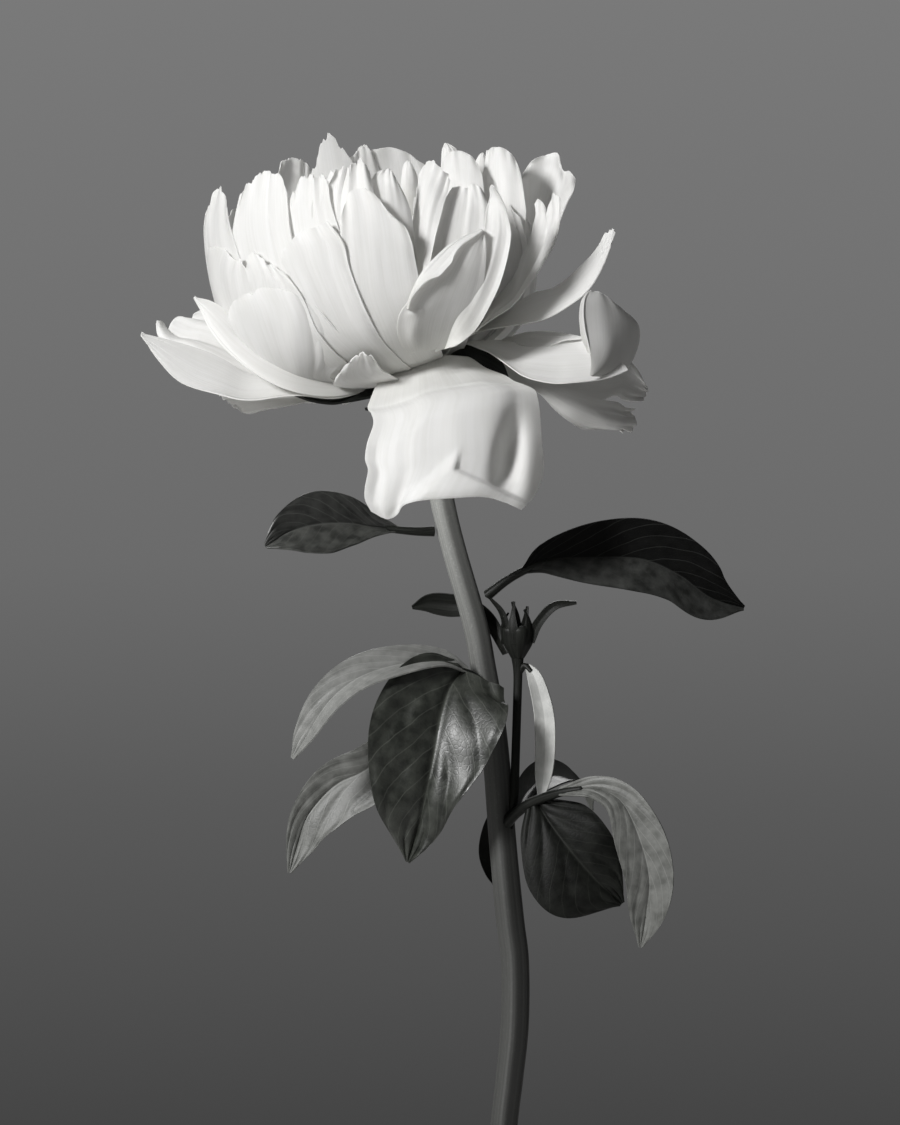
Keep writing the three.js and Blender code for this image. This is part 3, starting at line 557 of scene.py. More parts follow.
# Petals of the cup. Their edges and top are heading and share of the way up, in degrees and hundredths.
guardPetals = {
    "broad": {
        "layer": 4.6, "flare": 0.5, "ragged": 0.3, "phase": 0.2,
        "left": ((-50, 8), (-56, 21), (-69, 30.3), (-67, 37.2), (-64, 43), (-63, 48.3), (-62, 51.9), (-62, 54.8)),
        "top": ((-58, 57), (-53, 57.6), (-49, 58), (-46, 57.4), (-43, 58.2), (-38, 57.2), (-33, 55.4), (-31, 53.3),
            (-28, 50.9)),
        "right": ((-22, 8), (-38, 20), (-43, 29.3), (-32, 34.2), (-25, 39.9), (-24, 43.4), (-26, 48.5)),
        "dents": ((1, 0.75, 0.55, 0.5, -3.2), (0.32, 0.85, 0.1, 0.2, 1.1), (0.22, 0.68, 0.1, 0.2, 0.8),
            (0.52, 0.7, 0.06, 0.3, -0.5), (0.64, 0.72, 0.05, 0.25, 0.5)),
    },
    "ear": {
        "layer": 4.8, "flare": 0.3, "ragged": 0.5, "lobes": 1.6, "phase": 0.6,
        "left": ((-20, 10), (-40, 22), (-44, 27.5), (-38, 31), (-31, 33)),
        "top": ((-26, 35.8), (-21, 37.4), (-18, 37.5)),
        "right": ((-4, 10), (-12, 20), (-15, 27), (-16, 31), (-16, 35.5)),
    },
}
makePetals("guardPetals", guardPetals, cupPetalPlaces, "outlined")

cupFrontPetals = {
    "leftBroad": {
        "layer": 2.4, "phase": 0.1, "ragged": 0.4,
        "left": ((-40, 6), (-29, 33.4), (-31, 43.2), (-32, 51.1), (-33, 56.6), (-34, 61.1), (-34, 63.7)),
        "top": ((-32, 65.8), (-29, 67), (-26, 68.4), (-22, 68.4), (-20, 68.4), (-18, 69)),
        "right": ((0, 6), (-9, 32.2), (-11, 37.5), (-12, 43.2), (-13, 49.5), (-14, 57.2), (-14, 63.3), (-17, 68.8)),
    },
    "rightBroad": {
        "layer": 1.8, "phase": 0.45, "ragged": 0.3, "edgeRight": 0.6,
        "left": ((-30, 6), (-22, 33), (-22, 43.8), (-20, 50.1), (-18, 57.2), (-15, 64.1)),
        "top": ((-13, 69.8), (-11, 73.1), (-9, 74.9), (-6, 75.1), (-4, 74), (-2, 72), (0, 68)),
        "right": ((25, 6), (10, 30), (6, 40), (5, 46.6), (5, 52), (5, 57), (5, 60), (4, 64), (1, 66.4)),
    },
}
makePetals("cupFrontPetals", cupFrontPetals, cupPetalPlaces, "outlined")

cupLeftPetals = {
    "lowLeft": {
        "layer": 3.1, "phase": 0.35, "ragged": 0.5,
        "left": ((-60, 6), (-48, 30), (-50, 43.4), (-49, 50.5), (-49, 56.4), (-48, 60.3), (-48, 63.5)),
        "top": ((-46, 65.8), (-44, 67), (-42, 66.2), (-40, 64.3), (-39, 62.9), (-37, 62.5)),
        "right": ((-30, 6), (-28, 30), (-29, 40.7), (-30, 46.4), (-30, 51.9), (-31, 55.6), (-34, 60)),
    },
    "lowFarLeft": {
        "layer": 2.2, "phase": 0.9, "ragged": 0.4, "edgeLeft": -0.6,
        "left": ((-95, 6), (-78, 30), (-79, 43), (-80, 53), (-82, 62), (-79, 69), (-72, 72.5)),
        "top": ((-65, 71.7), (-58, 69.8), (-54, 67.2), (-52, 66.2), (-50, 66.4)),
        "right": ((-60, 6), (-43, 31.3), (-44, 40.9), (-45, 48.5), (-46, 55.2), (-47, 59.7), (-48, 63.5)),
    },
    "farLeft": {
        "layer": 1.4, "phase": 0.15, "ragged": 0.6, "flare": 0.3,
        "left": ((-100, 6), (-86, 32), (-88, 47), (-88, 58), (-87, 68), (-85, 76), (-80, 81.5)),
        "top": ((-78, 83.5), (-73, 83), (-72, 84.5), (-69, 86.8), (-65, 86.8), (-61, 84)),
        "right": ((-70, 6), (-45, 33.2), (-46, 46.8), (-49, 58), (-52, 67.4), (-54, 73.9), (-56, 80)),
    },
    "tallLeft": {
        "layer": 0.8, "phase": 0.55, "flare": 0.6, "ragged": 1,
        "left": ((-75, 6), (-56, 32.4), (-56, 47.2), (-56, 59.2), (-56, 69.2), (-54, 75.3), (-51, 80.8)),
        "top": ((-49, 82.3), (-48, 84.5), (-45, 84.3), (-43, 85.7), (-40, 86.3), (-37, 85.9), (-36, 84.7), (-32, 83.7)),
        "right": ((-35, 6), (-28, 32.8), (-28, 46.8), (-29, 57.2), (-30, 65.8), (-30, 73.3), (-30, 79)),
    },
    "uprightLeft": {
        "layer": 0, "phase": 0.25, "flare": 0.3, "ragged": 1.4, "lobes": 3.2,
        "left": ((-55, 6), (-40, 31.5), (-39, 46.8), (-38, 57.2), (-36, 65.6), (-34, 72.7), (-31, 78)),
        "top": ((-29, 78.6), (-27, 79.6), (-26, 81.1), (-24, 82.3), (-21, 82.1), (-20, 80.9), (-18, 81.9)),
        "right": ((-20, 6), (-16, 32), (-15, 45.8), (-15, 56), (-15, 64.6), (-16, 73.1), (-16, 79)),
    },
}
makePetals("cupLeftPetals", cupLeftPetals, cupPetalPlaces, "outlined")

cupMiddlePetals = {
    "jagged": {
        "layer": -0.8, "phase": 0.4, "ragged": 1.6, "lobes": 3.4, "pleat": 0.25, "ruffle": 1,
        "left": ((-45, 8), (-28, 33.4), (-27, 48.2), (-26, 58.8), (-24, 68.6), (-22, 75.6), (-17, 80.8)),
        "top": ((-14, 81.9), (-11, 82.3), (-10, 81.7), (-8, 82.3), (-5, 83.4)),
        "right": ((-10, 8), (-8, 30.5), (-6, 45), (-5, 55.4), (-4, 65), (-3, 72.5), (-3, 80)),
    },
}
makePetals("cupMiddlePetals", cupMiddlePetals, cupPetalPlaces, "outlined")

cupBackPetals = {
    "greyLeft": {
        "layer": 1, "phase": 0.2, "flare": 0, "ragged": 0.5,
        "left": ((230, 8), (226, 45), (224, 70), (222, 93)),
        "top": ((221, 97), (219, 97.8), (216, 98.2), (212, 98), (210, 97.3), (208, 96.1)),
        "right": ((200, 8), (202, 45), (204, 70), (206, 93.5)),
    },
    "leftArched": {
        "layer": -2, "phase": 0.7, "flare": 0, "ragged": 0.4,
        "left": ((212, 8), (208, 50), (205, 75), (201, 91.9)),
        "top": ((193, 96.1), (189, 97.1), (186, 98.8), (184, 99.6), (182, 99)),
        "right": ((168, 8), (174, 50), (178, 80), (180, 96)),
    },
    "arched": {
        "layer": 0, "phase": 0.5, "flare": -1, "ragged": 0.1,
        "left": ((200, 8), (194, 50), (189, 80), (185, 95.7)),
        "top": ((180, 97.3), (173, 96.9), (168, 95.1), (165, 92.7), (162, 89.8)),
        "right": ((140, 8), (150, 50), (155, 70), (158, 84)),
    },
}
makePetals("cupBackPetals", cupBackPetals, cupPetalPlaces, "outlined")

# Petals with an outline of their own, in x, y, z.
foldedPetals = {
    "foldedBack": {
        "bulge": 0.5, "phase": 0.3, "pleat": 0.03, "pleats": 5, "ruffle": 0.1, "ragged": 0.1, "wobble": 0.25,
        "dents": ((-0.62, 0.36, 0.2, 0.035, 0.8), (-0.55, 0.2, 0.2, 0.12, 1.2)),
        "left": ((-26.4, -46.5, 451.9), (-27.9, -49.7, 453.8), (-29.1, -52.7, 456.4), (-29.3, -55.6, 459.8),
            (-28.4, -57.6, 463.2), (-26.3, -58.7, 466.2), (-22.9, -59.9, 471.5), (-19.3, -60.2, 476),
            (-14.8, -59.6, 482), (-11.8, -58.7, 484.5), (-7.3, -56.8, 487.3), (-3.6, -54.8, 488.6)),
        "top": ((-3.3, -55.4, 488.4),),
        "right": ((-12.7, -43.7, 453.9), (-8.4, -44.6, 457.6), (-5.4, -48.5, 463.4), (-3.6, -51.6, 470.1),
            (-2.7, -53.7, 476.6), (-2.4, -55, 482.5), (-2.9, -56.1, 487.5)),
        "corners": ((-3.6, -55.5, 488.5), (-2.9, -54.9, 487.7)),
    },
    "foldedFlap": {
        "phase": 0.6, "pleat": 0.05, "ruffle": 0.1, "ragged": 0, "wobble": 0.15,
        "left": ((-26.4, -56.8, 464.5), (-25.4, -58.3, 468.2), (-22.3, -59.6, 474.5), (-18.7, -59.5, 478.9),
            (-13.6, -58.3, 483.7), (-9.1, -56.5, 486.4), (-3.6, -53.5, 488.9)),
        "top": (),
        "right": ((-25.9, -60.4, 464.2), (-24.9, -61.6, 467.4), (-22.3, -62.2, 470.7), (-19.6, -62.2, 472.8),
            (-16.6, -61.5, 474), (-14.5, -61.3, 476.2), (-12.7, -61, 478.3), (-11.8, -60.9, 480.7),
            (-9.7, -60.3, 483.5), (-5.8, -58.6, 486.4), (-3.6, -57.6, 488.1)),
        "corners": ((-3.6, -55.1, 488.7), (-3.5, -55, 488.4)),
    },
    "tallRight": {
        "bulge": 0.3, "phase": 0.8, "pleat": 0.08, "ruffle": 0.2, "ragged": 0.1, "edgeRight": 1,
        "left": ((-17.9, -39.7, 452.7), (-12.7, -50.1, 463.2), (-8.4, -52.6, 472.1), (-4.8, -52.8, 481.2),
            (-3, -52.7, 488.2), (-2.4, -52.7, 494.2), (-1.2, -52, 498.9), (-1.2, -52, 501.6)),
        "top": ((-0.7, -54.8, 502.3),),
        "right": ((-11.8, -48.7, 453.9), (-9.3, -48.4, 455.4), (-5.1, -48.6, 459.4), (-1.5, -50.5, 465.3),
            (1.9, -51.7, 472.5), (4.3, -52.7, 480.9), (5.2, -53.4, 487.8), (3.9, -55.4, 493.9), (2.1, -56.8, 498),
            (0, -58.1, 501.2)),
        "corners": ((-1.2, -55.2, 501.2), (0, -54.5, 501.6)),
    },
}
makePetals("foldedPetals", foldedPetals, outlinedPetalPlaces, "outlined")

middlePetals = {
    "middle": {
        "bulge": 1.5, "phase": 0.85, "ragged": 1,
        "left": ((-38, -56, 476.3), (-38.7, -55, 487), (-38.7, -54, 495.4), (-38.2, -53, 500.9), (-36.7, -52, 505),
            (-34.6, -51, 506.9)),
        "top": ((-33.3, -51, 507.2), (-31.8, -51, 507.5), (-30.9, -51, 506.6)),
        "right": ((-23.6, -55, 474.9), (-23.9, -54, 482.6), (-24.5, -54, 489), (-25.2, -53, 494.3), (-26.7, -52, 498.6),
            (-28.4, -52, 501.9), (-30, -51, 504.8)),
    },
    "narrow": {
        "bulge": 1, "towards": (-0.7, -0.7, 0), "phase": 0.3, "ragged": 1, "lobes": 2, "pleat": 0.08, "wobble": 0.3,
        "left": ((-26, -54, 467.5), (-25.1, -52, 478.2), (-25.1, -50, 485.1), (-24.6, -47, 491.8), (-24, -44, 498),
            (-23.4, -42, 503.1), (-22.6, -40, 507.3), (-21.6, -39, 509.9)),
        "top": ((-20.1, -40, 511), (-18.2, -41, 511.4), (-17, -42, 509.9), (-15.1, -43, 507.9), (-14.2, -43, 507)),
        "right": ((-21.2, -57, 468.8), (-20.3, -57, 475.6), (-19.4, -56, 478.2), (-18.2, -54, 483.8), (-17, -52, 490.1),
            (-15.4, -49, 495.8), (-13.9, -46, 500.2), (-13.3, -44, 505)),
    },
    "lobe": {
        "bulge": 1.5, "phase": 0.9, "ragged": 0.1, "pleat": 0.02, "wobble": 0.1, "ruffle": 0.1,
        "left": ((-29, -18, 497.2), (-28.7, -18, 505.1), (-28.4, -18, 509.8), (-27.8, -18, 512.9), (-26.8, -18, 514.3)),
        "top": ((-25.9, -18, 513.9),),
        "right": ((-22.7, -16, 497.4), (-23.1, -16, 505.3), (-23.7, -17, 509.3), (-24.9, -18, 512.3)),
    },
    "greyMiddle": {
        "bulge": -1, "towards": (-0.2, -1, 0), "phase": 0.4, "pleat": 0.1, "pleats": 4, "ragged": 1,
        "left": ((-21.8, -52, 469.1), (-19.9, -51, 479.2), (-18.2, -49, 487.4), (-16.4, -46, 494.4),
            (-14.5, -43, 499.6), (-12.7, -41, 503)),
        "top": ((-11.4, -41, 503.3), (-9.9, -41, 503.6), (-8.4, -41, 503), (-7.1, -41, 504.2), (-6, -41, 504.2),
            (-4.4, -41, 503.6)),
        "right": ((-0.6, -50, 469.3), (-0.5, -49, 480), (-0.5, -47, 488.2), (-1.1, -44, 495.2), (-3.2, -41, 501.7)),
    },
}
makePetals("middlePetals", middlePetals, outlinedPetalPlaces, "outlined")

rightPetals = {
    "upright": {
        "bulge": -1.5, "towards": (-0.6, -0.8, 0), "phase": 0.15, "ragged": 0.6, "wobble": 0.3,
        "left": ((-4.6, -34, 459.6), (-1.8, -32, 464.4), (2.2, -29, 468.6), (6, -27, 472.2), (7.6, -25, 477.7),
            (8.9, -24, 482.8), (11.1, -22, 488), (12.7, -20, 492.9), (14, -19, 497.4), (13.7, -18, 500.7)),
        "top": ((14.3, -19, 502.1), (15.8, -21, 500.9), (17.1, -22, 497.4), (18, -23, 501), (18.9, -24, 503.4),
            (20.4, -26, 502.2)),
        "right": ((-8.4, -38, 457.1), (-2.8, -38, 461.1), (1.2, -37, 464), (5.5, -36, 466.8), (9.5, -36, 471.1),
            (13.3, -35, 476.2), (16.4, -34, 481.8), (18.9, -33, 486.2), (20.8, -31, 492.3), (21.2, -28, 500.8)),
    },
    "uprightBehind": {
        "bulge": -1, "towards": (-0.6, -0.8, 0), "phase": 0.5, "ragged": 0.5, "wobble": 0.2,
        "left": ((-7.7, -22, 463.3), (-2, -18, 469.9), (1.8, -14, 477.1), (4.1, -11, 483.1), (6.7, -9, 489.3),
            (8.9, -8, 494.2), (10.2, -8, 496.4)),
        "top": ((11.1, -9, 496.9),),
        "right": ((-0.2, -26, 463.6), (4.2, -24, 469.4), (7.4, -22, 473.9), (9.3, -20, 479.1), (11.2, -17, 485),
            (12.6, -14, 489.8), (12, -11, 494.8)),
    },
    "curled": {
        "bulge": -3, "towards": (-0.1, -1, 0), "phase": 0.3, "ragged": 0.5, "pleat": 0.04,
        "dents": ((0, 1.02, 3, 0.14, -5), (1, 0.8, 0.35, 0.5, 3)),
        "left": ((2.7, 0, 472), (6.6, 5, 485.9), (9.3, 8, 496.9), (9.9, 8, 504), (9.6, 7, 509.3), (9.9, 5, 513.9)),
        "top": ((12.1, 6, 517.3), (15.1, 8, 519.4), (18.3, 9, 520.5), (21.2, 8, 520.7), (21.8, 6, 517.6),
            (23, 4, 514.4), (24.9, 2, 513.9)),
        "right": ((7.3, -8, 470.7), (15.2, -9, 482.3), (19.4, -8, 490.4), (22.3, -6, 497.9), (24.3, -4, 502.6),
            (26.3, -2, 506.3), (26.7, 0, 511)),
    },
    "rightTall": {
        "bulge": 1.8, "towards": (-0.3, -0.95, 0.1), "phase": 0.75, "ragged": 0.3, "pleat": 0.05, "wobble": 0.3,
        "left": ((-4.4, -6, 471.5), (-3.7, -5, 484.3), (-3.1, -5, 493.9), (-2.8, -5, 501.8), (-2.8, -4, 509.9),
            (-2.1, -3, 514.8), (-1.5, -2, 519.4)),
        "top": ((-0.2, -3, 520.2), (1.4, -4, 520.4), (4.2, -6, 519.5), (6.4, -7, 517.5)),
        "right": ((5.6, -16, 470.7), (8.1, -15, 481.8), (10, -14, 491.3), (10.7, -13, 497.8), (10.4, -12, 502.6),
            (9.8, -11, 507.2), (8.9, -10, 511.4), (8, -8, 514.8)),
    },
    "round": {
        "bulge": 1.8, "towards": (-0.1, -1, 0.1), "phase": 0.6, "ragged": 0.1, "pleat": 0.04, "wobble": 0.3,
        "ruffle": 0.2,
        "left": ((-14.6, -8, 492), (-15.2, -9, 501.4), (-15.8, -9, 506.1), (-16.2, -8, 511), (-15.5, -8, 515.1)),
        "top": ((-14.3, -9, 517.2), (-12.3, -10, 518.2), (-10.4, -10, 518.4), (-8.2, -11, 517.6), (-6.3, -11, 516.3)),
        "right": ((-2.3, -20, 490.7), (-2.3, -18, 498.8), (-2.6, -16, 504.7), (-3.2, -14, 509.9), (-4.8, -12, 514.3)),
    },
    "pointedBehind": {
        "bulge": 1.5, "phase": 0.2, "ragged": 0.2, "pleat": 0.04, "wobble": 0.2,
        "left": ((-16.5, 0, 499.2), (-16.2, 0, 512), (-16, 0, 517.4), (-15.7, 0, 520.3), (-14.9, 0, 522.2)),
        "top": (),
        "right": ((-7.5, 2, 499.4), (-8.2, 2, 510.6), (-9.5, 1, 516.9), (-11.4, 0, 520.3), (-14.3, 0, 522.1)),
    },
    "sliver": {
        "bulge": 1, "phase": 0.7, "ragged": 0.1, "pleat": 0.02, "wobble": 0.1, "ruffle": 0.1,
        "left": ((-7.5, 2, 499.4), (-6.2, 2, 510.6), (-5.6, 2, 515.1), (-4.3, 2, 518), (-3.4, 2, 519.1)),
        "top": ((-2.7, 2, 519.3),),
        "right": ((-0.5, 3, 499.5), (-0.8, 3, 510.8), (-1.4, 2.5, 515.5), (-2.1, 2, 518.3)),
    },
}
makePetals("rightPetals", rightPetals, outlinedPetalPlaces, "outlined")

leftGuardPetals = {
    "lowestLeft": {
        "bulge": 3.5, "towards": (-0.1, -0.7, -0.7), "phase": 0.3, "ruffle": 0.5,
        "left": ((-29.8, -8, 445.9), (-47.5, -28, 439.2), (-61.2, -35, 439.7), (-75, -36, 438.1), (-84.3, -35, 439.4),
            (-96.4, -31, 443.3), (-104.6, -26, 451.7), (-110, -22, 459.5)),
        "top": (),
        "right": ((-28.6, -6, 451.1), (-47.9, -18, 447.9), (-63.5, -20, 446.8), (-76, -20, 447.1), (-83.9, -19, 451.3),
            (-91.8, -19, 455), (-101.1, -20, 458.1), (-110, -21.6, 459.6)),
    },
    "pointedLeft": {
        "bulge": 3.5, "towards": (-0.3, -0.8, -0.5), "phase": 0.8, "pleats": 4,
        "left": ((-28.5, -8, 445.3), (-47.5, -28, 439.8), (-60.2, -36, 440.3), (-71.3, -36, 444.9), (-80.8, -32, 452.3),
            (-87.4, -27, 459.8), (-91.2, -22, 466.4), (-93.7, -18, 471.4)),
        "top": (),
        "right": ((-28.5, -8, 449.1), (-46.2, -20, 447.7), (-60.1, -26, 450.5), (-69.4, -26, 455.8), (-77, -24, 461.6),
            (-82.5, -22, 466.1), (-88.3, -20, 469.7), (-93.5, -18, 471.5)),
    },
    "ruffled": {
        "bulge": 2, "towards": (-0.2, -0.9, -0.3), "phase": 0.4, "pleat": 0.3, "pleats": 4, "ruffle": 1, "ragged": 0.2,
        "left": ((-30.8, -4, 451.9), (-54.6, -8, 444.3), (-70.3, -10, 445.8), (-81.3, -11, 448.3), (-90.8, -11, 453),
            (-98.2, -10, 456), (-103, -9, 457), (-106, -8, 460.2), (-107, -7, 463.5)),
        "top": ((-106.4, -7, 464.9), (-105.4, -6, 464.7), (-104.4, -5, 463.3), (-103.2, -4, 462.1), (-102, -3, 465),
            (-99.8, -2, 466.4), (-97.7, -1, 466.2), (-96.5, 0, 464.6), (-95.6, 1, 467.4), (-94.4, 2, 468.3)),
        "right": ((-31, 4, 456.3), (-52, 8, 460.4), (-66.5, 8, 465.6), (-76.1, 7, 469.4), (-82.5, 6, 471.2),
            (-87.9, 5, 471.1), (-92.6, 3, 469)),
    },
    "under": {
        "bulge": 1.5, "towards": (-0.1, -0.7, -0.7), "phase": 0.6, "ruffle": 0.4,
        "left": ((-35.7, 0, 447), (-54.5, -10, 440.1), (-65.6, -15, 437.3), (-71.2, -16, 436.3), (-75.6, -16, 435.4),
            (-78.5, -15, 435.6), (-79.6, -14, 437.1)),
        "top": ((-83.3, -10, 438.7),),
        "right": ((-35.9, 8, 451.4), (-55.1, 6, 446.8), (-71.1, 4, 445), (-80.6, 2, 444), (-85.6, 0, 442.9),
            (-87.1, -1, 441.2)),
        "corners": ((-79.6, -14, 437.1), (-86.9, -5, 441)),
    },
}
makePetals("leftGuardPetals", leftGuardPetals, outlinedPetalPlaces, "outlined")

rightGuardPetals = {
    "longRight": {
        "bulge": 1.6, "towards": (0.5, -0.7, -0.5), "phase": 0.5, "ruffle": 0.5,
        "left": ((-19, -6, 451.8), (-6.4, -20, 459.4), (5.3, -29, 461.5), (15.5, -34, 463.3), (23.1, -35, 466.9),
            (29.3, -34, 471.6), (33.6, -31, 478.7), (36.2, -27, 485.9), (37.9, -23, 491.3)),
        "top": ((37.6, -22.5, 492.3),),
        "right": ((-17.1, -4, 455.1), (-5.4, -14, 461.7), (3.9, -20, 466.2), (9.6, -23, 470.4), (13.5, -24, 472.2),
            (19.8, -25, 474), (27.6, -24, 480.9), (33, -23, 486.6), (35.6, -22, 490.8)),
    },
    "boat": {
        "bulge": 4, "towards": (0.1, -0.75, -0.65), "phase": 0.2, "pleat": 0.08, "ruffle": 0.2, "ragged": 0,
        "left": ((-18.4, -8, 449.7), (-9.5, -20, 456.2), (-3.1, -30, 454.3), (1.2, -36, 451.1), (5.4, -40, 447.8),
            (8.7, -43, 445.4), (13, -45, 443.8), (18.8, -46, 442.8), (24.2, -46, 443.1), (30.1, -44, 443.8),
            (35.8, -41, 444.9), (41.6, -36, 447.4)),
        "top": ((39.3, -34, 450), (35.6, -33, 452.5)),
        "right": ((-16.5, -4, 455.7), (-8.2, -12, 457.7), (-1.3, -16, 457.9), (3.7, -18, 458), (6.8, -19, 458.9),
            (10.8, -20, 459.8), (16.5, -21, 460), (20.8, -22, 459.6), (25.1, -24, 458.7), (28.4, -28, 457.2),
            (31.3, -33, 454.4)),
    },
    "boatFlap": {
        "bulge": 0.3, "phase": 0.4, "pleat": 0.05, "ruffle": 0.1, "ragged": 0, "wobble": 0.2,
        "left": ((3, -19, 457.8), (6.4, -24, 457), (8.2, -25.5, 456), (11.3, -26.5, 455.3), (15.6, -27.5, 454.9),
            (18.8, -27.5, 455.8), (22.5, -28, 457.1), (28.4, -28.5, 457.6)),
        "top": (),
        "right": ((3, -18.4, 458), (6.5, -19.5, 459), (10.8, -20.5, 460.1), (16.4, -21.5, 460.3), (20.8, -22.5, 459.9),
            (25.1, -24.5, 459), (28.4, -28.3, 457.9)),
    },
    "boatEnd": {
        "finish": "petalOuter", "bulge": 3, "towards": (0.5, -0.85, 0), "phase": 0.7, "pleat": 0.05, "pleats": 2,
        "ruffle": 0.2, "ragged": 0.1,
        "left": ((29.4, -46, 445.1), (29.7, -46, 448.3), (29.5, -45, 451.7), (28.9, -44, 455.1), (28, -43, 459.2),
            (27.5, -42, 463.9), (27.8, -41, 468.2), (28.8, -39, 470.6), (30.2, -37, 471.7)),
        "top": ((33.1, -33, 471.5), (34.8, -31, 470)),
        "right": ((30, -46, 444.9), (34, -40, 445.3), (38.3, -34, 446.4), (41.7, -29, 448.4), (44.1, -25, 452.1),
            (45.7, -22, 457), (45.5, -22, 461.7), (43.2, -24, 464.7), (39.6, -27, 466.9), (36.1, -29, 468.3)),
    },
    "boatRim": {
        "phase": 0.1, "pleat": 0.03, "ruffle": 0, "ragged": 0, "wobble": 0.1,
        "left": ((29.2, -38, 452.8), (27.5, -33, 457.5), (27, -32.5, 461.2), (26.8, -33, 464.6), (27.3, -34, 468.5),
            (28.7, -36, 470.8), (30, -37, 471.7)),
        "top": (),
        "right": ((29.6, -45.2, 451.7), (28.9, -44.2, 455.1), (28, -43.2, 459.2), (27.5, -42.2, 463.9),
            (27.8, -41.2, 468.2), (28.8, -39.2, 470.6), (30.2, -37, 471.7)),
    },
    "lowOuter": {
        "finish": "petalOuter", "bulge": 3, "towards": (0.2, -0.8, -0.5), "phase": 0.5, "ruffle": 1, "ragged": 0.5,
        "left": ((1.4, -4, 450), (12.1, -8, 444.3), (19, -9, 441.8), (26.3, -9, 439.5), (34.3, -8, 438.9),
            (39.1, -7, 440.9), (41.7, -7, 439.8), (44.9, -6, 439.2), (47.8, -5, 439.7)),
        "top": ((48.9, -4, 441.2), (49.7, -3, 443.5)),
        "right": ((1.4, 0, 454.1), (15.6, 2, 453.6), (26.9, 4, 453.7), (34.9, 5, 454.4), (41.4, 5, 454.4),
            (45.1, 3, 452), (47.2, 1, 449), (49, -2, 445)),
    },
    "lowest": {
        "finish": "petalOuter", "bulge": 2.5, "towards": (0.2, -0.8, -0.5), "phase": 0.8, "ruffle": 1, "ragged": 0.5,
        "left": ((-4.4, -6, 451.1), (5, -12, 445.4), (11, -14, 443.4), (15.4, -15, 440.8), (19.4, -16, 436.3),
            (23.9, -16, 432.6), (27.7, -15, 430.7), (31.5, -14, 430.3), (35.7, -13, 430), (38.6, -12, 430.8),
            (41.1, -11, 429.6)),
        "top": ((43.4, -10.5, 429.5), (45, -10, 430.3), (45.7, -9, 432.6), (45.1, -8, 434.8), (44.2, -8, 435.6)),
        "right": ((-3.1, -2, 454.6), (8.9, -8, 448.2), (14.3, -10, 445.8), (19.9, -11, 443.5), (24.7, -11, 442.3),
            (31.1, -10, 440.7), (35.8, -10, 439.5), (39.7, -9, 438.6), (42.6, -8, 437), (45.1, -8, 437.4)),
    },
}
makePetals("rightGuardPetals", rightGuardPetals, outlinedPetalPlaces, "outlined")

# Petals between the cup's own, in the plain way.
plainCupPetals = {
    "pointed": {
        "heading": -165, "reach": 41, "rise": 85.5, "half": 13, "crown": 0.33, "peak": 1.5, "skew": 0.3, "ragged": 0.03,
    },
    "leftRear": {"heading": -122, "reach": 57, "rise": 66, "half": 18, "phase": 0.1},
    "rearLeft": {"heading": -158, "reach": 52, "rise": 60, "half": 22, "phase": 0.65},
    "rear": {"heading": 180, "reach": 54, "rise": 56, "half": 24, "leave": 0, "phase": 0.85},
    "rearRight": {"heading": 160, "reach": 53, "rise": 54, "half": 20, "leave": 0, "phase": 0.25},
}
makePetals("plainCupPetals", plainCupPetals)

backGuards = {
    "right": {"heading": 122, "reach": 66, "rise": -6, "leave": -18, "arrive": 8, "half": 24, "phase": 0.1},
    "middle": {"heading": 180, "reach": 73, "rise": 15, "leave": 3, "arrive": 34, "half": 29, "phase": 0.5},
    "left": {"heading": 236, "reach": 71, "rise": 15, "leave": 6, "arrive": 30, "half": 26, "phase": 0.9},
    "upperRight": {"heading": 160, "reach": 56, "rise": 36, "leave": -12, "arrive": 90, "half": 17, "phase": 0.3},
    "upperMiddle": {"heading": 180, "reach": 61, "rise": 42, "leave": -12, "arrive": 90, "half": 24, "phase": 0.7},
    "upperLeft": {"heading": 224, "reach": 62, "rise": 44, "leave": -12, "arrive": 90, "half": 22, "phase": 0.2},
}
makePetals("backGuardPetals", backGuards)

# Rings of shorter petals that fill the cup, how much they vary, and the ranges that the rest is drawn from.
petalRings = {
    "outerRing": {"count": 9, "first": 50, "vary": 1.6, "reach": 36, "rise": 43, "leave": 8, "half": 17},
    "middleRing": {"count": 9, "first": 8, "vary": 1.8, "reach": 29, "rise": 49, "leave": 16, "half": 15},
    "innerRing": {"count": 8, "first": 30, "vary": 2, "reach": 24, "rise": 57, "leave": 28, "half": 13},
    "heartRing": {"count": 7, "first": 12, "vary": 2, "reach": 15, "rise": 56, "leave": 45, "half": 10},
    "heart": {"count": 5, "first": 40, "vary": 1.5, "reach": 7, "rise": 53, "leave": 62, "half": 7},
}
ringVariety = {"heading": 4, "rise": 1.6, "half": (0.85, 1.12)}
ringRanges = {
    "arrive": (90, 108), "skew": (-0.3, 0.3), "crown": (0.25, 0.5), "peak": (1.6, 2.6), "phase": (0, 1),
    "ragged": (0.01, 0.03), "lobes": (1.8, 3.2), "pleat": (0.05, 0.15), "pleats": (1.5, 3), "ruffle": (0.3, 0.9),
    "edge": (-12, 12),
}


def ringPetals(ring):
    spread = lambda amount: random.uniform(-amount, amount)
    return {
        k: {
            "heading": ring["first"] + 360 * k / ring["count"] + spread(ringVariety["heading"] * ring["vary"]),
            "reach": ring["reach"] + spread(ring["vary"]),
            "rise": ring["rise"] + spread(ringVariety["rise"] * ring["vary"]),
            "half": ring["half"] * random.uniform(*ringVariety["half"]),
            "leave": ring["leave"],
            **{name: random.uniform(*limits) for name, limits in ringRanges.items()},
        }
        for k in range(ring["count"])
    }


for ringName, ring in petalRings.items():
    makePetals(ringName + "Petals", ringPetals(ring))

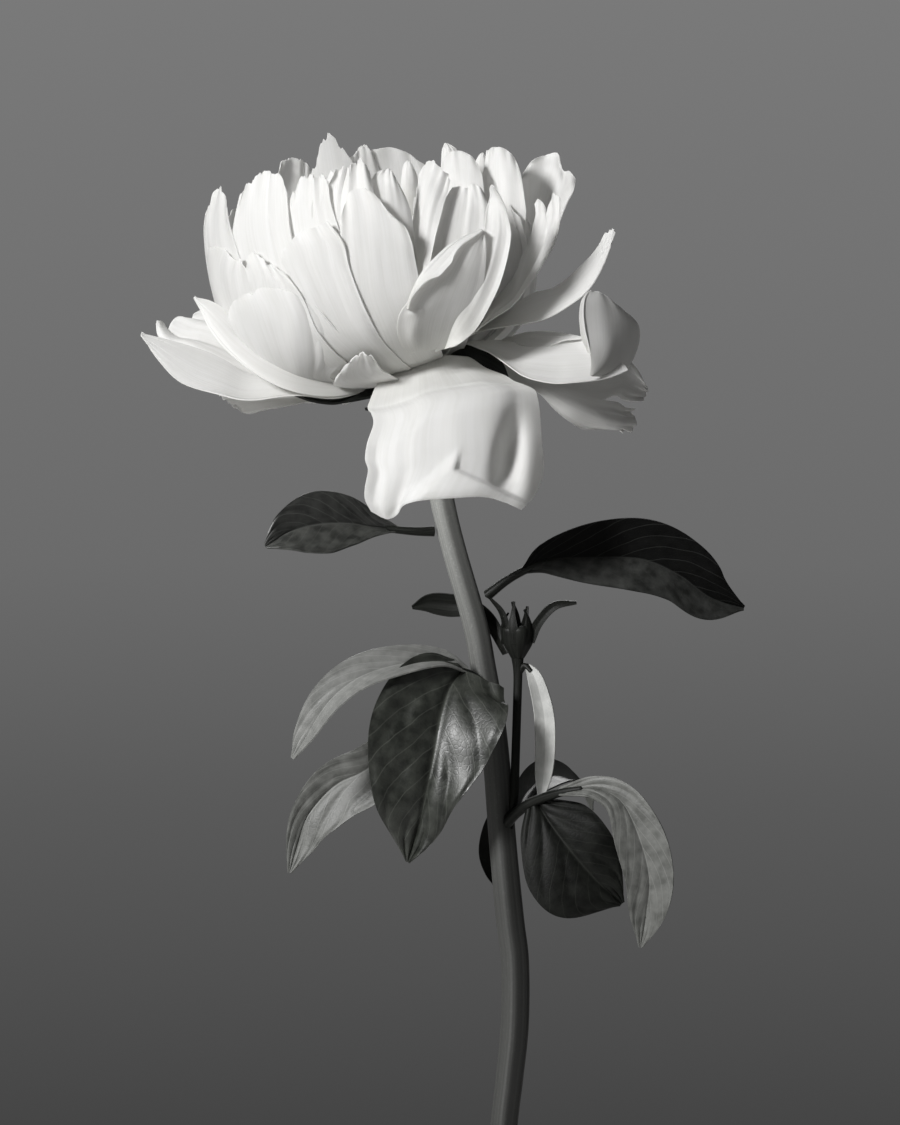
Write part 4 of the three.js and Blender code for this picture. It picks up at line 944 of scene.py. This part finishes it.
hanging = {
    "bulge": 6, "pleat": 0.1, "pleats": 5, "phase": 0.3, "ruffle": 0.3, "ragged": 0.2, "wobble": 1,
    "left": ((-23.5, -8, 450.4), (-29.7, -17, 452.3), (-35.4, -27, 444.5), (-38.2, -37, 437.2), (-38.5, -40, 435.1),
        (-37.5, -43, 433.7), (-36.7, -47, 430.2), (-38.5, -51, 424.2), (-39.1, -52, 419.4), (-38.2, -53, 416),
        (-39.1, -53, 410.9), (-39.1, -52, 407.2), (-37.3, -50, 403.6)),
    "top": ((-33.6, -49.9, 401.6), (-31.9, -49.8, 401.3), (-29.4, -50.7, 402.4), (-27.2, -52.6, 405.4),
        (-20.9, -54.4, 406.9), (-11.8, -55.3, 407.5), (-2.7, -54.2, 407.8), (3.4, -51.1, 406.1)),
    "right": ((-14.6, -8, 450.4), (-8.3, -24, 452.2), (-2.2, -30, 448.3), (3.7, -33, 445.8), (6.4, -36, 443.9),
        (9.5, -37, 442.7), (12.6, -38, 441.1), (13.5, -39, 438.9), (14.1, -40, 434.9), (14.7, -41, 426.2),
        (15.3, -41, 417.9), (14.3, -42, 412.1), (11.5, -45, 407.1), (8.3, -47, 404)),
    "dents": ((-0.85, 0.75, 0.08, 0.2, -0.8), (-0.5, 0.32, 0.35, 0.09, -1.6), (-0.1, 0.25, 0.6, 0.05, 0.9),
        (0.5, 0.3, 0.25, 0.03, 0.8), (0.72, 0.35, 0.16, 0.02, 0.8), (0.6, 0.41, 0.2, 0.02, 0.5)),
    # a fold from its peak down to the left and right, the hollow beside it, and the ridge at the margin
    "fold": {
        "peak": (-9.3, 425.4), "leftFoot": (-28.5, 406), "corner": (-11.2, 416.2), "rightFoot": (5.4, 408.7),
        "height": 2.4, "softLeft": 4, "softRight": 1.7, "start": 0.35, "rising": 14,
    },
    "hollow": {"at": (4.2, 421), "wide": (3.2, 5), "tall": 11, "lean": 0.18, "deep": 8},
    "ridge": {"at": (9.6, 420), "wide": 3.2, "tall": 14, "high": 1.6},
}


def hangingRelief(x, z):
    fold, hollow, ridge = hanging["fold"], hanging["hollow"], hanging["ridge"]

    def beside(start, end):
        length = math.hypot(end[0] - start[0], end[1] - start[1])
        return ((x - start[0]) * (end[1] - start[1]) - (z - start[1]) * (end[0] - start[0])) / length

    def hump(spot, across, wide):
        return np.exp(-(across / wide) ** 2 - ((z - spot["at"][1]) / spot["tall"]) ** 2)

    fromLeft = -beside(fold["peak"], fold["leftFoot"])
    fromRight = np.maximum(beside(fold["peak"], fold["corner"]), beside(fold["corner"], fold["rightFoot"]))
    folded = easeIn(fromLeft / fold["softLeft"]) * easeIn(fromRight / fold["softRight"] + 0.3)
    fromPeak = easeIn((fold["peak"][1] - z) / fold["rising"])
    height = fold["height"] * folded * (fold["start"] + (1 - fold["start"]) * fromPeak)
    across = x - hollow["at"][0] - hollow["lean"] * (z - hollow["at"][1])
    height -= hollow["deep"] * hump(hollow, across, np.where(across < 0, *hollow["wide"])) * (1 - folded)
    return height + ridge["high"] * hump(ridge, x - ridge["at"][0], ridge["wide"])


makePetals("hangingPetal", {"hanging": {**hanging, "relief": hangingRelief}}, outlinedPetalPlaces, "hanging")
print("bloom made")

stem = {
    "line": ((-2, 0, 7.4, 4), (-0.8, 0, 60, 4), (0.2, 0, 120, 4.05), (1.6, 0, 160, 4.1), (3, 0, 188, 4.1),
        (4, 0, 208, 4.15), (5.6, 0, 222, 4.2), (7.4, 0, 240, 4.3), (7.5, 0, 260, 4.3), (5.9, 0, 274, 4.3),
        (3.6, 0, 298, 4.2), (1.6, 0, 324, 4.1), (-0.2, 0, 340, 4), (-2.6, 0, 354, 3.9), (-5.2, 0, 368, 3.8),
        (-12, 0, 392, 3.7), (-15.6, 0, 407, 3.7), (-19.2, 0, 427, 3.9), (-22.2, 0, 446, 5.4)),
    "ridges": 4, "ridgeHeight": 0.06, "ridgeTurn": 12, "sides": 61, "steps": 181,
}
stemPiece = stalk("stemPiece", look="stemGreen", **stem)
finishPiece(stemPiece, "stem")

sepals = {
    "thickness": 0.9,
    # height over the bloom's base, and radius
    "receptacle": ((-13, 3.5), (-11, 6), (-8, 8.3), (-5.5, 8.8), (-3.5, 7)),
    "plain": {"root": 5, "base": -7, "crown": 0.6, "peak": 1.5, "foot": 0.5, "ragged": 0},
    "outlined": {"bulge": 1, "towards": (0, -0.8, -0.6), "ruffle": 0.1, "ragged": 0},
}
plainSepals = {
    "front": {"heading": 24, "reach": 25, "rise": -9, "leave": -8, "arrive": -6, "half": 8, "curl": 14},
    "right": {"heading": 98, "reach": 34, "rise": -12, "leave": -14, "arrive": -4, "half": 8, "curl": 14},
    "rear": {"heading": 168, "reach": 34, "rise": -10, "leave": -14, "arrive": 8, "half": 9, "curl": 18},
    "rearLeft": {"heading": -136, "reach": 29, "rise": -8, "leave": -14, "arrive": 4, "half": 8, "curl": 18},
}
outlinedSepals = {
    "left": {
        "left": ((-25.3, -10, 444.5), (-35.3, -20, 440.5), (-41.4, -24, 438.8), (-46, -26, 438), (-50.4, -27, 437.5),
            (-56.3, -27, 438.3), (-60.1, -26, 439.7), (-62.3, -25, 440.7)),
        "top": (),
        "right": ((-25.4, -6, 449.2), (-35.4, -14, 446.2), (-44.7, -19, 443.1), (-50.9, -22, 442), (-55.8, -24, 441.3),
            (-62.2, -25, 440.8)),
    },
    "right": {
        "left": ((-17.7, -10, 452.8), (-10.2, -22, 449.2), (-4, -27, 446.4), (1.3, -29, 444.4), (5, -30, 443.4)),
        "top": (),
        "right": ((-16.5, -6, 457.8), (-11.7, -19, 456.6), (-7, -23, 455.7), (-1.4, -25, 453.7), (2.9, -27, 449.8),
            (5.2, -30, 443.7)),
    },
}
cone = [(*(bloomBase + bloomAxis * height), radius) for height, radius in sepals["receptacle"]]
receptacle = stalk("calyx", cone, "sepalGreen", sides=41, steps=21)
sepalSheets = [
    blade("calyx", {**sepals["plain"], **one}, "sepal", petalPlaces, "sepalGreen") for one in plainSepals.values()
] + [
    blade("calyx", {**sepals["outlined"], **one}, "longSepal", outlinedPetalPlaces, "sepalGreen")
    for one in outlinedSepals.values()
]
sepalPiece = joinPieces("calyx", sepalSheets)
thicken(sepalPiece, sepals["thickness"])
finishPiece(joinPieces("calyx", [receptacle, sepalPiece]), "stem")

shoot = {
    "line": ((4.6, -1, 298, 1.5), (7, -2, 312, 1.5), (7.6, -2, 325, 1.4), (8.2, -2, 344, 1.4), (8.4, -2, 353, 1.5),
        (8.2, -2, 359, 2.2)),
    "bud": ((8.2, -2, 357, 1.8), (8.2, -2, 359, 3), (8.2, -2, 362, 4.6), (8.2, -2, 365, 5.3), (8.2, -2, 367, 5.2),
        (8.2, -2, 368, 3.6)),
    "bractThickness": 0.6,
    # small spikes round the bud: how far out, how high and how wide from foot to tip
    "spikes": {
        "middle": (8.2, -2), "first": 250, "tops": (375.5, 373, 370.5, 371, 372),
        "foot": ((4.4, 362, 1.6), (5.1, 366.5, 1.9)), "neck": (4.4, 367, 0.8), "tipOut": 2.8, "tipHalf": 0.25,
    },
}
bracts = {
    "left": ((4.5, -3, 362, 1.6), (4.4, -4, 368, 1.2), (3, -4, 372.5, 0.9), (-0.4, -4, 376.5, 0.4)),
    "right": ((12, -3, 363, 1.8), (15, -4, 369, 1.5), (20, -5, 374.2, 1.4), (27, -5, 375.2, 0.5)),
    "middle": ((8, -4, 366, 1.8), (7.8, -4, 371, 1), (6.6, -3, 375.5, 0.4)),
    "middleRight": ((10, -4, 366, 1.6), (10.8, -4, 370, 0.9), (11.4, -3.4, 374, 0.4)),
}
longBract = {
    "run": ((5, 0, 359, 1.6), (-0.5, 5.5, 369, 2.4), (-7, 7.5, 373.5, 3.4, 3.2), (-13.5, 8.5, 374.5, 4.2, 3.6),
        (-20, 8.5, 375, 3.4, 3), (-25.5, 7.5, 373.5, 0.5)),
    "fold": 12, "curl": 20,
}

shootParts = [
    stalk("shootPiece", shoot["line"], "shootGreen", sides=25, steps=61),
    stalk("shootPiece", shoot["bud"], "shootGreen", sides=41, steps=25, ridges=5, ridgeHeight=0.06),
]
bractShapes = [{"run": run, "fold": 14} for run in bracts.values()]
spikes = shoot["spikes"]
for k, top in enumerate(spikes["tops"]):
    angle = math.radians(spikes["first"] + 360 * k / len(spikes["tops"]))
    way = (math.cos(angle), math.sin(angle))
    neckOut, neckHeight, neckHalf = spikes["neck"]
    rows = (*spikes["foot"], (neckOut, (neckHeight + top) / 2, neckHalf), (spikes["tipOut"], top, spikes["tipHalf"]))
    run = [
        (spikes["middle"][0] + way[0] * out, spikes["middle"][1] + way[1] * out, height, half)
        for out, height, half in rows
    ]
    bractShapes.append({"run": run, "facing": (*way, 0), "fold": -14})
bractSheets = [blade("shootPiece", shape, "bract", bladePlaces, "shootGreen") for shape in bractShapes]
bractSheets.append(blade("shootPiece", longBract, "longBract", bladePlaces, "shootGreen"))
bractPiece = joinPieces("shootPiece", bractSheets)
thicken(bractPiece, shoot["bractThickness"])
finishPiece(joinPieces("shootPiece", [*shootParts, bractPiece]), "sideShoot")
print("stem and side shoot made")

leafThickness = 0.5
# Each leaf: the lines of its petioles, x, y, z and radius, and its blades.
leaves = {
    "upperLeftLeaf": {
        "petioles": (((-18, 0, 398, 1.7), (-24.5, -1, 398, 1.4), (-34, -1.6, 398.8, 1.1)),),
        "blades": (
            {
                "run": ((-30.5, -1, 398.5, 1.2), (-38, -2, 399.5, 5, 4.6), (-46.5, -5, 400.5, 11, 9),
                    (-56, -8, 400, 15, 10.5), (-64.5, -11, 397.5, 12, 7), (-71.5, -13, 393, 0.8)),
                "facing": (0, -1, 0.25), "fold": 12, "quilt": 0.45, "veins": 6, "finish": "leafBanded",
                "curl": (45, 15),
            },
        ),
    },
    "upperRightLeaf": {
        "petioles": (((-2, 0, 377, 1.8), (4.5, -2, 382, 1.4), (10.5, -4, 385.5, 1.3), (18, -5.6, 388.6, 1)),),
        "blades": (
            {
                "run": ((10.5, -4, 385.5, 1.2), (18, -6, 389, 6, 5.5), (31, -9, 389.5, 11.6, 9.5),
                    (47, -11, 389, 13.8, 12), (59, -11, 384, 12.6, 10), (69, -9, 377, 8.6, 8.5), (80, -6, 373.5, 0.8)),
                "facing": (0, -1, 0.1), "fold": 20, "quilt": 0.3, "veins": 6, "finish": "leafTwoTone", "curl": (16, 12),
            },
        ),
    },
    "middleLeftLeaf": {
        "petioles": (((-2.5, -1, 347, 2), (-6, -6, 351.5, 1.8), (-10.5, -9.5, 353.5, 1.5)),),
        "blades": (
            {
                "run": ((-8, -8, 353.5, 1.3), (-16.5, -13, 357, 4), (-29, -18, 356, 6.6, 6.2),
                    (-41.5, -21, 352, 7.2, 7), (-51, -22, 344.5, 6.8, 6.5), (-58, -21, 334, 4.6, 4.5),
                    (-62.5, -20, 326.5, 0.6)),
                "facing": (0.1, -0.75, 0.6), "tipFacing": (-0.5, -0.8, 0.2), "fold": 20, "curl": 20, "quilt": 0.2,
                "finish": "leafPale",
            },
            {
                "run": ((-9.5, -9, 354, 15, 5), (-13.5, -14, 348, 20, 17), (-16.5, -18, 338, 21, 22),
                    (-18.5, -20, 326.5, 17, 22), (-21, -20, 314, 10, 18), (-23.5, -18, 304, 7, 11),
                    (-26.5, -15, 294, 0.6)),
                "fold": 12, "curl": 14, "wave": 1.2, "waves": 3, "quilt": 0.9, "veins": 3, "slant": 1.6,
                "dents": ((0.35, 0.3, 0.12, 0.1, 0.8), (0.6, 0.42, 0.1, 0.06, 0.7), (0.3, 0.52, 0.12, 0.08, 0.7)),
            },
            {
                "run": ((-9, -7.5, 353.5, 1.5), (-18, -3, 340, 5), (-38.5, 6, 322.5, 11, 8), (-50.5, 8, 316, 12, 8),
                    (-59, 8, 306.5, 10, 6), (-62.5, 8, 297, 6, 4), (-65, 7, 288, 0.6)),
                "fold": 12, "curl": 14, "quilt": 0.4, "veins": 4, "finish": "leafMid",
            },
        ),
    },
    "narrowLeaf": {
        "petioles": (((8.4, -2, 352.5, 1.2), (10.5, -2.6, 355, 1.1), (12.8, -4, 353, 0.9)),),
        "blades": (
            {
                "run": ((11.5, -3, 355, 1), (14, -5, 350.5, 2.6), (16.5, -6, 340.5, 3.3), (17, -6, 330, 3.4),
                    (16.5, -5, 320.5, 2.8), (15.5, -4, 311.5, 0.6)),
                "fold": 10, "curl": 20, "finish": "leafBright",
            },
        ),
    },
    "lowerRightLeaf": {
        "petioles": (
            ((3, -1, 303, 2.2), (8, -5, 308.5, 1.8), (14, -9, 312.5, 1.6), (22, -14, 315.5, 1.3), (29, -17.5, 317, 1)),
            ((10, -6.5, 310, 1.5), (12, 2, 313, 1.3), (16, 16, 316.5, 1)),
        ),
        "blades": (
            {
                "run": ((9.5, 2, 309.5, 1.5), (14, 12, 315, 6), (21.5, 22, 318, 8), (29, 32, 314, 7),
                    (34, 41, 305.5, 0.6)),
                "facing": (0, -0.6, 0.8), "fold": 10, "curl": 15,
            },
            {
                "run": ((14.5, -8.5, 311.5, 3.5, 4.5), (19, -11, 304.5, 12), (26, -13, 295.5, 13.5, 18),
                    (33.5, -12, 287, 10, 16), (41, -9, 280, 1)),
                "fold": 8, "curl": -14, "wave": 0.8, "quilt": 0.6, "veins": 3, "finish": "leafDark",
            },
            {
                "run": ((21.5, -14, 315.5, 1.5), (32, -19, 317, 4), (40.5, -22, 313, 6), (46, -24, 301.5, 8.5),
                    (49, -24, 289, 8), (48, -22, 277.5, 6, 5.5), (46.5, -20, 267.5, 0.6)),
                "facing": (-0.2, -1, 0.5), "tipFacing": (0, -1, 0), "fold": 14, "curl": 14, "quilt": 0.3,
                "finish": "leafMid",
            },
        ),
    },
    "lowerBackLeaf": {
        "petioles": (((3.4, 1, 303, 1.6), (3.6, 5, 309, 1.4), (2.6, 8, 308, 1)),),
        "blades": (
            {
                "run": ((3.6, 7, 309.6, 1), (1, 9, 304, 3), (-0.5, 11, 295, 3.6), (0.5, 11, 288, 2.6),
                    (2.5, 10, 282.5, 0.5)),
                "fold": 10, "curl": 10, "finish": "leafDark",
            },
        ),
    },
}

for leafNode, parts in leaves.items():
    pieceName = leafNode + "Piece"
    petioles = [stalk(pieceName, line, "shootGreen", sides=17, steps=33) for line in parts["petioles"]]
    leafBlades = [
        blade(pieceName, shape, "leaf", bladePlaces, shape.get("finish", "leafUpper"), "leafUnder")
        for shape in parts["blades"]
    ]
    for one in leafBlades:
        thicken(one, leafThickness, 1)
    finishPiece(joinPieces(pieceName, [*petioles, *leafBlades]), leafNode)
print("leaves made")

vase = {
    "wall": 3.6, "sides": 96, "sideRings": 45,
    # height and radius up the outside, over the lip and across the floor inside
    "side": ((0, 33), (3, 35.5), (25, 43), (55, 47), (90, 41), (118, 26), (140, 14.6), (162, 11.6), (186, 11.1),
        (198.5, 15)),
    "lip": ((199.7, 14.9), (200.2, 14.2), (199.9, 13.3), (198.6, 12.4)),
    "insideFrom": 12, "insideTo": 196, "innerFloor": ((9, 31.5), (7, 28), (7, 3)),
}


def turnedPiece(name, outline, sides):
    # a disc whose rim is drawn up and widened, ring by ring, along an outline of height and radius
    selectOnly()
    (height, radius), *rings = [(height * mm, radius * mm) for height, radius in outline]
    bpy.ops.mesh.primitive_circle_add(vertices=sides, radius=radius, fill_type="TRIFAN", location=(0, 0, height))
    made = bpy.context.object
    made.name = name
    bpy.ops.object.transform_apply(location=True, rotation=False, scale=False)
    bpy.ops.object.mode_set(mode="EDIT")
    bpy.ops.mesh.select_mode(type="EDGE")
    bpy.ops.mesh.select_all(action="SELECT")
    bpy.ops.mesh.region_to_loop()
    for nextHeight, nextRadius in rings:
        bpy.ops.mesh.extrude_edges_move(TRANSFORM_OT_translate={"value": (0, 0, nextHeight - height)})
        widen = nextRadius / radius
        bpy.ops.transform.resize(value=(widen, widen, 1), center_override=(0, 0, nextHeight))
        height, radius = nextHeight, nextRadius
    bpy.ops.mesh.merge(type="CENTER")
    bpy.ops.mesh.select_all(action="SELECT")
    bpy.ops.mesh.normals_make_consistent(inside=False)
    bpy.ops.object.mode_set(mode="OBJECT")
    return made


outside = [tuple(row) for row in along(vase["side"], np.linspace(0, 1, vase["sideRings"]))]
inside = [
    (height, radius - vase["wall"]) for height, radius in reversed(outside)
    if vase["insideFrom"] < height < vase["insideTo"]
]
vasePiece = turnedPiece("vasePiece", [*outside, *vase["lip"], *inside, *vase["innerFloor"]], vase["sides"])
vasePiece.data.materials.append(finishes["glaze"])
finishPiece(vasePiece, "vase", smoothAngle=40)

waterTree, waterShader = newMaterial("waterClear")
feed(waterTree, waterShader, {
    "Base Color": (0.86, 0.92, 0.9, 1), "Transmission Weight": 1, "Roughness": 0.03, "IOR": 1.33,
})
ripples = noiseNode(waterTree, coordinates(waterTree, "Object"), scale=60)
bumpNode(waterTree, waterShader, ripples, strength=0.05, distance=0.001)
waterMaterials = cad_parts["water"].data.materials
waterMaterials.clear()
waterMaterials.append(finishes["waterClear"])
print("vase and water made")

# Floor, light and camera, in metres.
studio = {
    "target": (-0.02, 0, 0.4),
    "floor": {"radius": 0.8, "height": -0.0002, "sides": 96, "colour": (0.6, 0.595, 0.58, 1), "roughness": 0.8},
    "lights": {
        "keyLight": {"from": (-0.98, -1.2, 1.0), "size": 0.34, "power": 33.5},
        "fillLight": {"from": (1.3, -1.1, 0.6), "size": 1.4, "power": 0.5},
        "backLight": {"from": (-0.1, 1.4, 1.3), "size": 1, "power": 9},
    },
    "skyLight": 0.075,
    "backdrop": ((0.41, grey(0.058)), (0.4625, grey(0.102)), (0.5, grey(0.147)), (0.59, grey(0.193))),
    "camera": {"place": (-0.0133, -1.0, 0.388), "lens": 100, "sensor": 36},
}

selectOnly()
floorLook = studio["floor"]
bpy.ops.mesh.primitive_circle_add(
    vertices=floorLook["sides"], radius=floorLook["radius"], fill_type="NGON", location=(0, 0, floorLook["height"])
)
floor = bpy.context.object
floor.name = "floor"
floorTree, floorShader = newMaterial("floorPale")
feed(floorTree, floorShader, {"Base Color": floorLook["colour"], "Roughness": floorLook["roughness"]})
floor.data.materials.append(finishes["floorPale"])

for lampName, look in studio["lights"].items():
    bpy.ops.object.light_add(type="AREA", location=look["from"])
    lamp = bpy.context.object
    lamp.name = lampName
    lamp.data.shape, lamp.data.size, lamp.data.energy = "DISK", look["size"], look["power"]
    lamp.rotation_euler = (Vector(studio["target"]) - Vector(look["from"])).to_track_quat("-Z", "Y").to_euler()

# the camera sees a grey backdrop with painted light falloff, darker towards the bottom, and the object gets an even,
# weak light
world = bpy.data.worlds.new("studio")
bpy.context.scene.world = world
world.use_nodes = True
sky = world.node_tree
level = mathNode(sky, "MULTIPLY_ADD", oneAxis(sky, coordinates(sky, "Generated"), "Z"), 0.5, 0.5)
seen = feed(sky, sky.nodes["Background"], {"Color": rampNode(sky, level, studio["backdrop"])})
lighting = addNode(sky, "Background", {"Color": (1, 1, 1, 1), "Strength": studio["skyLight"]})
isSeen = sky.nodes.new("ShaderNodeLightPath").outputs["Is Camera Ray"]
choice = addNode(sky, "MixShader", {"Fac": isSeen, 1: lighting.outputs[0], 2: seen.outputs[0]})
feed(sky, sky.nodes["World Output"], {"Surface": choice.outputs[0]})

view = studio["camera"]
bpy.ops.object.camera_add(location=view["place"], rotation=(math.pi / 2, 0, 0))
camera = bpy.context.object
camera.data.lens, camera.data.sensor_width = view["lens"], view["sensor"]
bpy.context.scene.camera = camera
bpy.context.scene.view_settings.view_transform = "Standard"
print("studio made")
